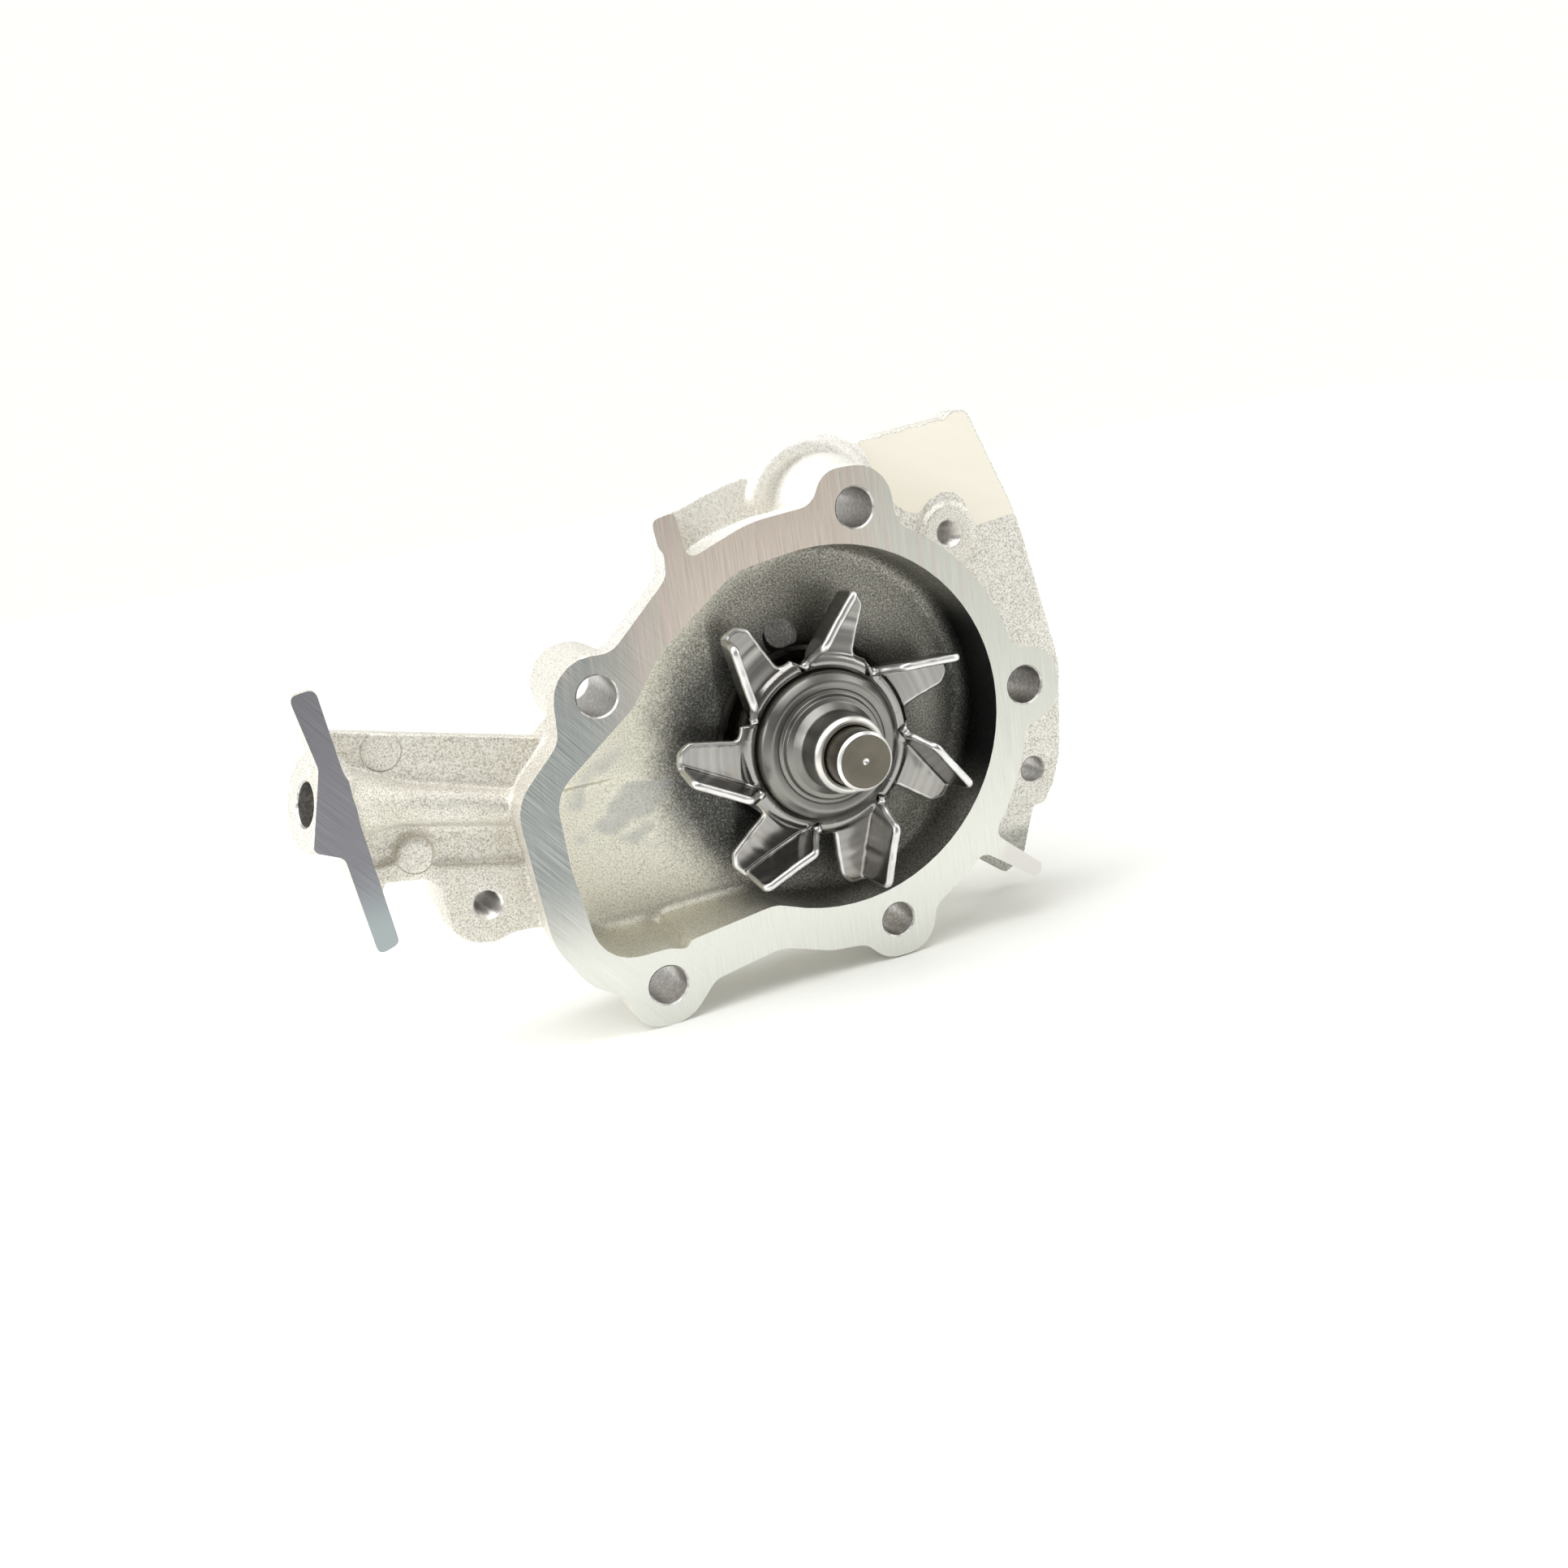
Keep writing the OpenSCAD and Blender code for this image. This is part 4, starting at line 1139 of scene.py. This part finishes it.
def seal():
    """Face seal: turned pieces from the case to the ring, then the coil spring."""
    parts = [
        ("seal_case_cup", HOUSING_BODY, "seal_case",
         turned_face("seal_case_steel", (0.075, 0.062, 0.055), 0.28, tarnish=0.2),
         [(9.6, 32.3, 0.3), (17.2, 32.3, 0.8), (17.2, 19.1, 1.0), (20.6, 19.1, 0.3), (20.6, 19.98, 0.3),
          (18.0, 19.98, 0.3), (18.0, 33.1, 1.2), (9.6, 33.1, 0.3)]),
        ("seal_rubber_bellows", HOUSING_BODY, "seal_bellows",
         rubber("bellows_rubber"),
         [(8.6, 21.42, 0.1), (13.4, 21.42, 0.3), (13.4, 22.6, 0.3), (10.2, 22.6, 0.4), (10.2, 25, 0.5),
          (12.2, 26.4, 0.6), (10.2, 28, 0.5), (10.2, 31.3, 0.4), (13.4, 31.3, 0.3),
          (13.4, 32.28, 0.3), (9.7, 32.28, 0.3), (9.1, 31.3, 0.3), (9.1, 28.2, 0.4),
          (11, 26.4, 0.4), (9.1, 24.8, 0.4), (8.6, 23, 0.3)]),
        ("seal_washer", HOUSING_BODY, "seal_spring_washer",
         turned_face("washer_steel", grey(0.55), 0.25, tarnish=0.15),
         [(13.5, 21.42, 0.2), (16.6, 21.42, 0.2), (16.6, 22.2, 0.2), (13.5, 22.2, 0.2)]),
        ("seal_carbon", HOUSING_BODY, "seal_carbon_ring",
         turned_face("carbon", grey(0.05), 0.4, metallic=0.0),
         [(8.6, 17.2, 0.1), (10.4, 17.2, 0.15), (10.4, 18.4, 0.1), (12.4, 18.4, 0.25), (12.4, 21.4, 0.1),
          (8.6, 21.4, 0.1)]),
        ("seal_ceramic", ROTOR, "seal_mating_ring",
         moulded("ceramic", (0.72, 0.68, 0.6), 0.25),
         [(9.2, 13.2, 0.2), (13.2, 13.2, 0.2), (13.2, 17.17, 0.25), (9.2, 17.17, 0.25)]),
        ("seal_cup_rubber", ROTOR, "seal_seat_cup",
         rubber("cup_rubber"),
         [(6.82, 9.62, 0.1), (13.2, 9.62, 0.5), (13.2, 13.2, 0.2), (9.2, 13.2, 0.1), (9.2, 16.6, 0.4),
          (6.82, 16.6, 0.3)]),
    ]
    for name, body, node, material, profile in parts:
        place(shade(revolve(name, profile)), body, material, [node])
    spring()


def spring():
    """Round-wire compression spring with closed ends, inside the CAD spring's space."""
    wire_r, coil_r, low, high, turns = 0.7, 15.1, 22.95, 31.55, 3.5
    rows, sides, points = 260, 14, []
    for i in range(rows + 1):
        f = i / rows
        a = 2 * math.pi * turns * f
        centre = np.array([coil_r * math.cos(a), low + (high - low) * f, coil_r * math.sin(a)])
        radial = np.array([math.cos(a), 0, math.sin(a)])
        taper = min(1.0, 0.35 + 30 * min(f, 1 - f))
        for j in range(sides):
            b = 2 * math.pi * j / sides
            points.append(centre + wire_r * taper * (radial * math.cos(b) + np.array([0, math.sin(b), 0])))
    obj = shade(weld(mesh_object("seal_coil_spring", points, tube_faces(rows, sides))))
    place(obj, HOUSING_BODY, turned_face("spring_wire", grey(0.5), 0.3, tarnish=0.2),
          ["seal_spring"])


# ---------------------------------------------------------------- rear end


def pulley_flange():
    low, high = box_mm("pulley_hub")
    r = high[0]
    screws = MOUNTS["pulley_screws"]["dims"]
    obj = revolve("pulley_flange", [
        (7.98, low[1], 0.1), (13.4, low[1], 0.5), (14.5, 79.6, 0.5), (14.5, 81.95, 0.9), (18, 82, 0.3),
        (r - 0.9, 82, 0.3), (r, 82.9, 0.3), (r, 86.1, 0.3), (r - 0.9, high[1], 0.3),
        (16.5, high[1], 0.1), (16.1, 86.6, 0.1), (9.6, 86.6, 0.1),
        (9.2, high[1], 0.1), (8.5, high[1], 0.1), (7.98, 86.5, 0.1)], segments=176)
    count, pcd_r, core = screws["count"], screws["pcd_mm"] / 2, screws["hole_r_mm"]
    for i in range(count):
        x, z = polar(pcd_r, 45 + i * 360 / count)
        for y, axis in ((high[1], (0, -1, 0)), (82.0, (0, 1, 0))):
            mouth = revolve("mouth", [(0, -1), (core + 0.6, -1), (core + 0.6, -0.02), (core - 0.1, 0.6),
                                      (0, 0.6)],
                            (x, y, z), axis, 48)
            combine(obj, mouth, "DIFFERENCE")
        combine(obj, thread_tap("tap", (x, high[1], z), (0, -1, 0), core, core + 0.5, 1.0, -1, 7),
                "DIFFERENCE")
    obj.data.materials.clear()
    shade(obj, 30)
    place(obj, ROTOR, turned_face("phosphated_steel", grey(0.2), 0.38, line=0.3,
                                                tarnish=0.3, depth=0.02),
          ["pulley_hub"])


def drain_cup():
    low, high = box_mm("drain_plug")
    centre = (0, (low[1] + high[1]) / 2, 0)
    obj = revolve("drain_cup", [
        (0, low[2] + 0.02), (4.98, low[2] + 0.02, 1.2), (4.98, high[2] - 0.02, 0.35),
        (4.1, high[2] - 0.02, 0.35),
        (4.0, low[2] + 1, 0.9), (0, low[2] + 0.95)], centre, (0, 0, 1), 96)
    shade(obj)
    place(obj, HOUSING_BODY, turned_face("zinc_yellow", (0.62, 0.47, 0.22), 0.3,
                                                       tarnish=0.2),
          ["drain_plug"])


def bearing():
    low, high = box_mm("bearing_outer_ring")
    race = [(9.63 + 2.54 * math.cos(a), 46.5 + 2.54 * math.sin(a))
            for a in np.radians(np.linspace(48, -48, 9))]
    ring = revolve("bearing_sleeve", [(11.3, low[1], 0.2), (15.0, low[1], 0.6), (15.0, high[1], 0.6),
                                      (11.3, high[1], 0.2)]
                   + race)
    shade(ring)
    place(ring, HOUSING_BODY, turned_face("bearing_steel", grey(0.5), 0.2,
                                                                tarnish=0.12),
          ["bearing_outer_ring"])
    polished = turned_face("polished_steel", grey(0.75), 0.12, tarnish=0.05)
    nylon = moulded("cage_nylon", (0.50, 0.36, 0.18))
    black = rubber("seal_lip_rubber")
    slinger = turned_face("slinger_steel", grey(0.55), 0.3, tarnish=0.15)
    for node, material in (("bearing_balls", polished), ("bearing_rollers", polished),
                           ("ball_cage", nylon), ("roller_cage", nylon), ("bearing_seal_front", black),
                           ("bearing_seal_rear", black),
                           ("slinger", slinger)):
        obj = frame["nodes"][node]
        obj.data.materials.clear()
        obj.data.materials.append(material)


# ---------------------------------------------------------------- stage

FLOOR_Z = cad_box[0][2]
FLOOR_SIZE = 2200
# open front of the light tent, seen from the part
OPEN_SIDE = (-0.34, -0.84, 0.42)
TENT_LIGHT = 0.70
OPEN_LIGHT = 0.18
# name, place, size in metres, watts
LAMPS = [
    ("top_softbox", (-0.24, -0.1, 1.05), (1.2, 1.2), 10.5),
    ("left_softbox", (-0.9, 0.0, 0.5), (0.7, 0.8), 7),
    ("right_softbox", (0.9, -0.3, 0.45), (0.6, 0.7), 2),
]
# the floor turns into plain bright backdrop between these distances
BACKDROP_NEAR, BACKDROP_FAR = 230, 520


def stage():
    half = FLOOR_SIZE / 2
    corners = [(x * half, y * half, FLOOR_Z / MM) for x, y in ((-1, -1), (1, -1), (1, 1), (-1, 1))]
    floor = mesh_object("floor", corners, [(0, 1, 2, 3)])
    paper = Shader("white_paper", (0.9, 0.9, 0.9), metallic=0.0, roughness=0.7)
    fibre = paper.noise(1.5, detail=3)
    off = paper.node("ShaderNodeVectorMath", {0: paper.place}, operation="LENGTH").outputs["Value"]
    far = paper.span(paper.math("MULTIPLY", off, 1 / MM), BACKDROP_NEAR, BACKDROP_FAR)
    near = paper.mix(fibre, (0.90, 0.905, 0.88), (0.93, 0.935, 0.91))
    floor.data.materials.append(paper.set(
        Base_Color=paper.mix(far, near, (0, 0, 0)), Normal=paper.bump(fibre, 0.02, 0.3),
        Emission_Color=(1.0, 1.0, 0.965), Emission_Strength=far))

    world = bpy.data.worlds.new("studio")
    SCENE.world = world
    world.use_nodes = True
    tree = world.node_tree
    tent = tree.nodes["Background"]
    direction = tree.nodes.new("ShaderNodeTexCoord").outputs["Generated"]
    facing = tree.nodes.new("ShaderNodeVectorMath")
    facing.operation = "DOT_PRODUCT"
    facing.inputs[1].default_value = OPEN_SIDE
    tree.links.new(direction, facing.inputs[0])
    fade = tree.nodes.new("ShaderNodeMapRange")
    fade.interpolation_type = "SMOOTHSTEP"
    for key, value in (("From Min", 0.35), ("From Max", 0.95), ("To Min", TENT_LIGHT),
                       ("To Max", OPEN_LIGHT)):
        fade.inputs[key].default_value = value
    tree.links.new(facing.outputs["Value"], fade.inputs["Value"])
    seen = tree.nodes.new("ShaderNodeLightPath").outputs["Is Camera Ray"]
    level = tree.nodes.new("ShaderNodeMix")
    level.inputs[3].default_value = 1.02
    tree.links.new(seen, level.inputs[0])
    tree.links.new(fade.outputs["Result"], level.inputs[2])
    tree.links.new(level.outputs[0], tent.inputs["Strength"])
    tent.inputs["Color"].default_value = (1.0, 1.0, 0.96, 1)

    for name, at, size, energy in LAMPS:
        light = bpy.data.lights.new(name, "AREA")
        light.shape = "RECTANGLE"
        light.size, light.size_y = size
        light.energy = energy
        obj = bpy.data.objects.new(name, light)
        obj.location = at
        obj.rotation_euler = (-Vector(at)).to_track_quat("-Z", "Y").to_euler()
        SCENE.collection.objects.link(obj)


def camera():
    data = bpy.data.cameras.new("camera")
    data.lens, data.sensor_width = 37.27, 36.0
    data.clip_start, data.clip_end = 0.01, 50
    obj = bpy.data.objects.new("camera", data)
    right, up, back = (0.9116, -0.3887, -0.1337), (0.2268, 0.2045, 0.9523), (-0.3428, -0.8984, 0.2746)
    turn = Matrix((right, up, back)).transposed().to_4x4()
    obj.matrix_world = Matrix.Translation((-0.1413, -0.3327, 0.0967)) @ turn
    SCENE.collection.objects.link(obj)
    SCENE.camera = obj


camera()
stage()
housing()
vane_plate()
impeller_hub()
shaft()
seal()
pulley_flange()
drain_cup()
bearing()
SCENE.view_settings.view_transform = "Standard"

bpy.context.view_layer.update()
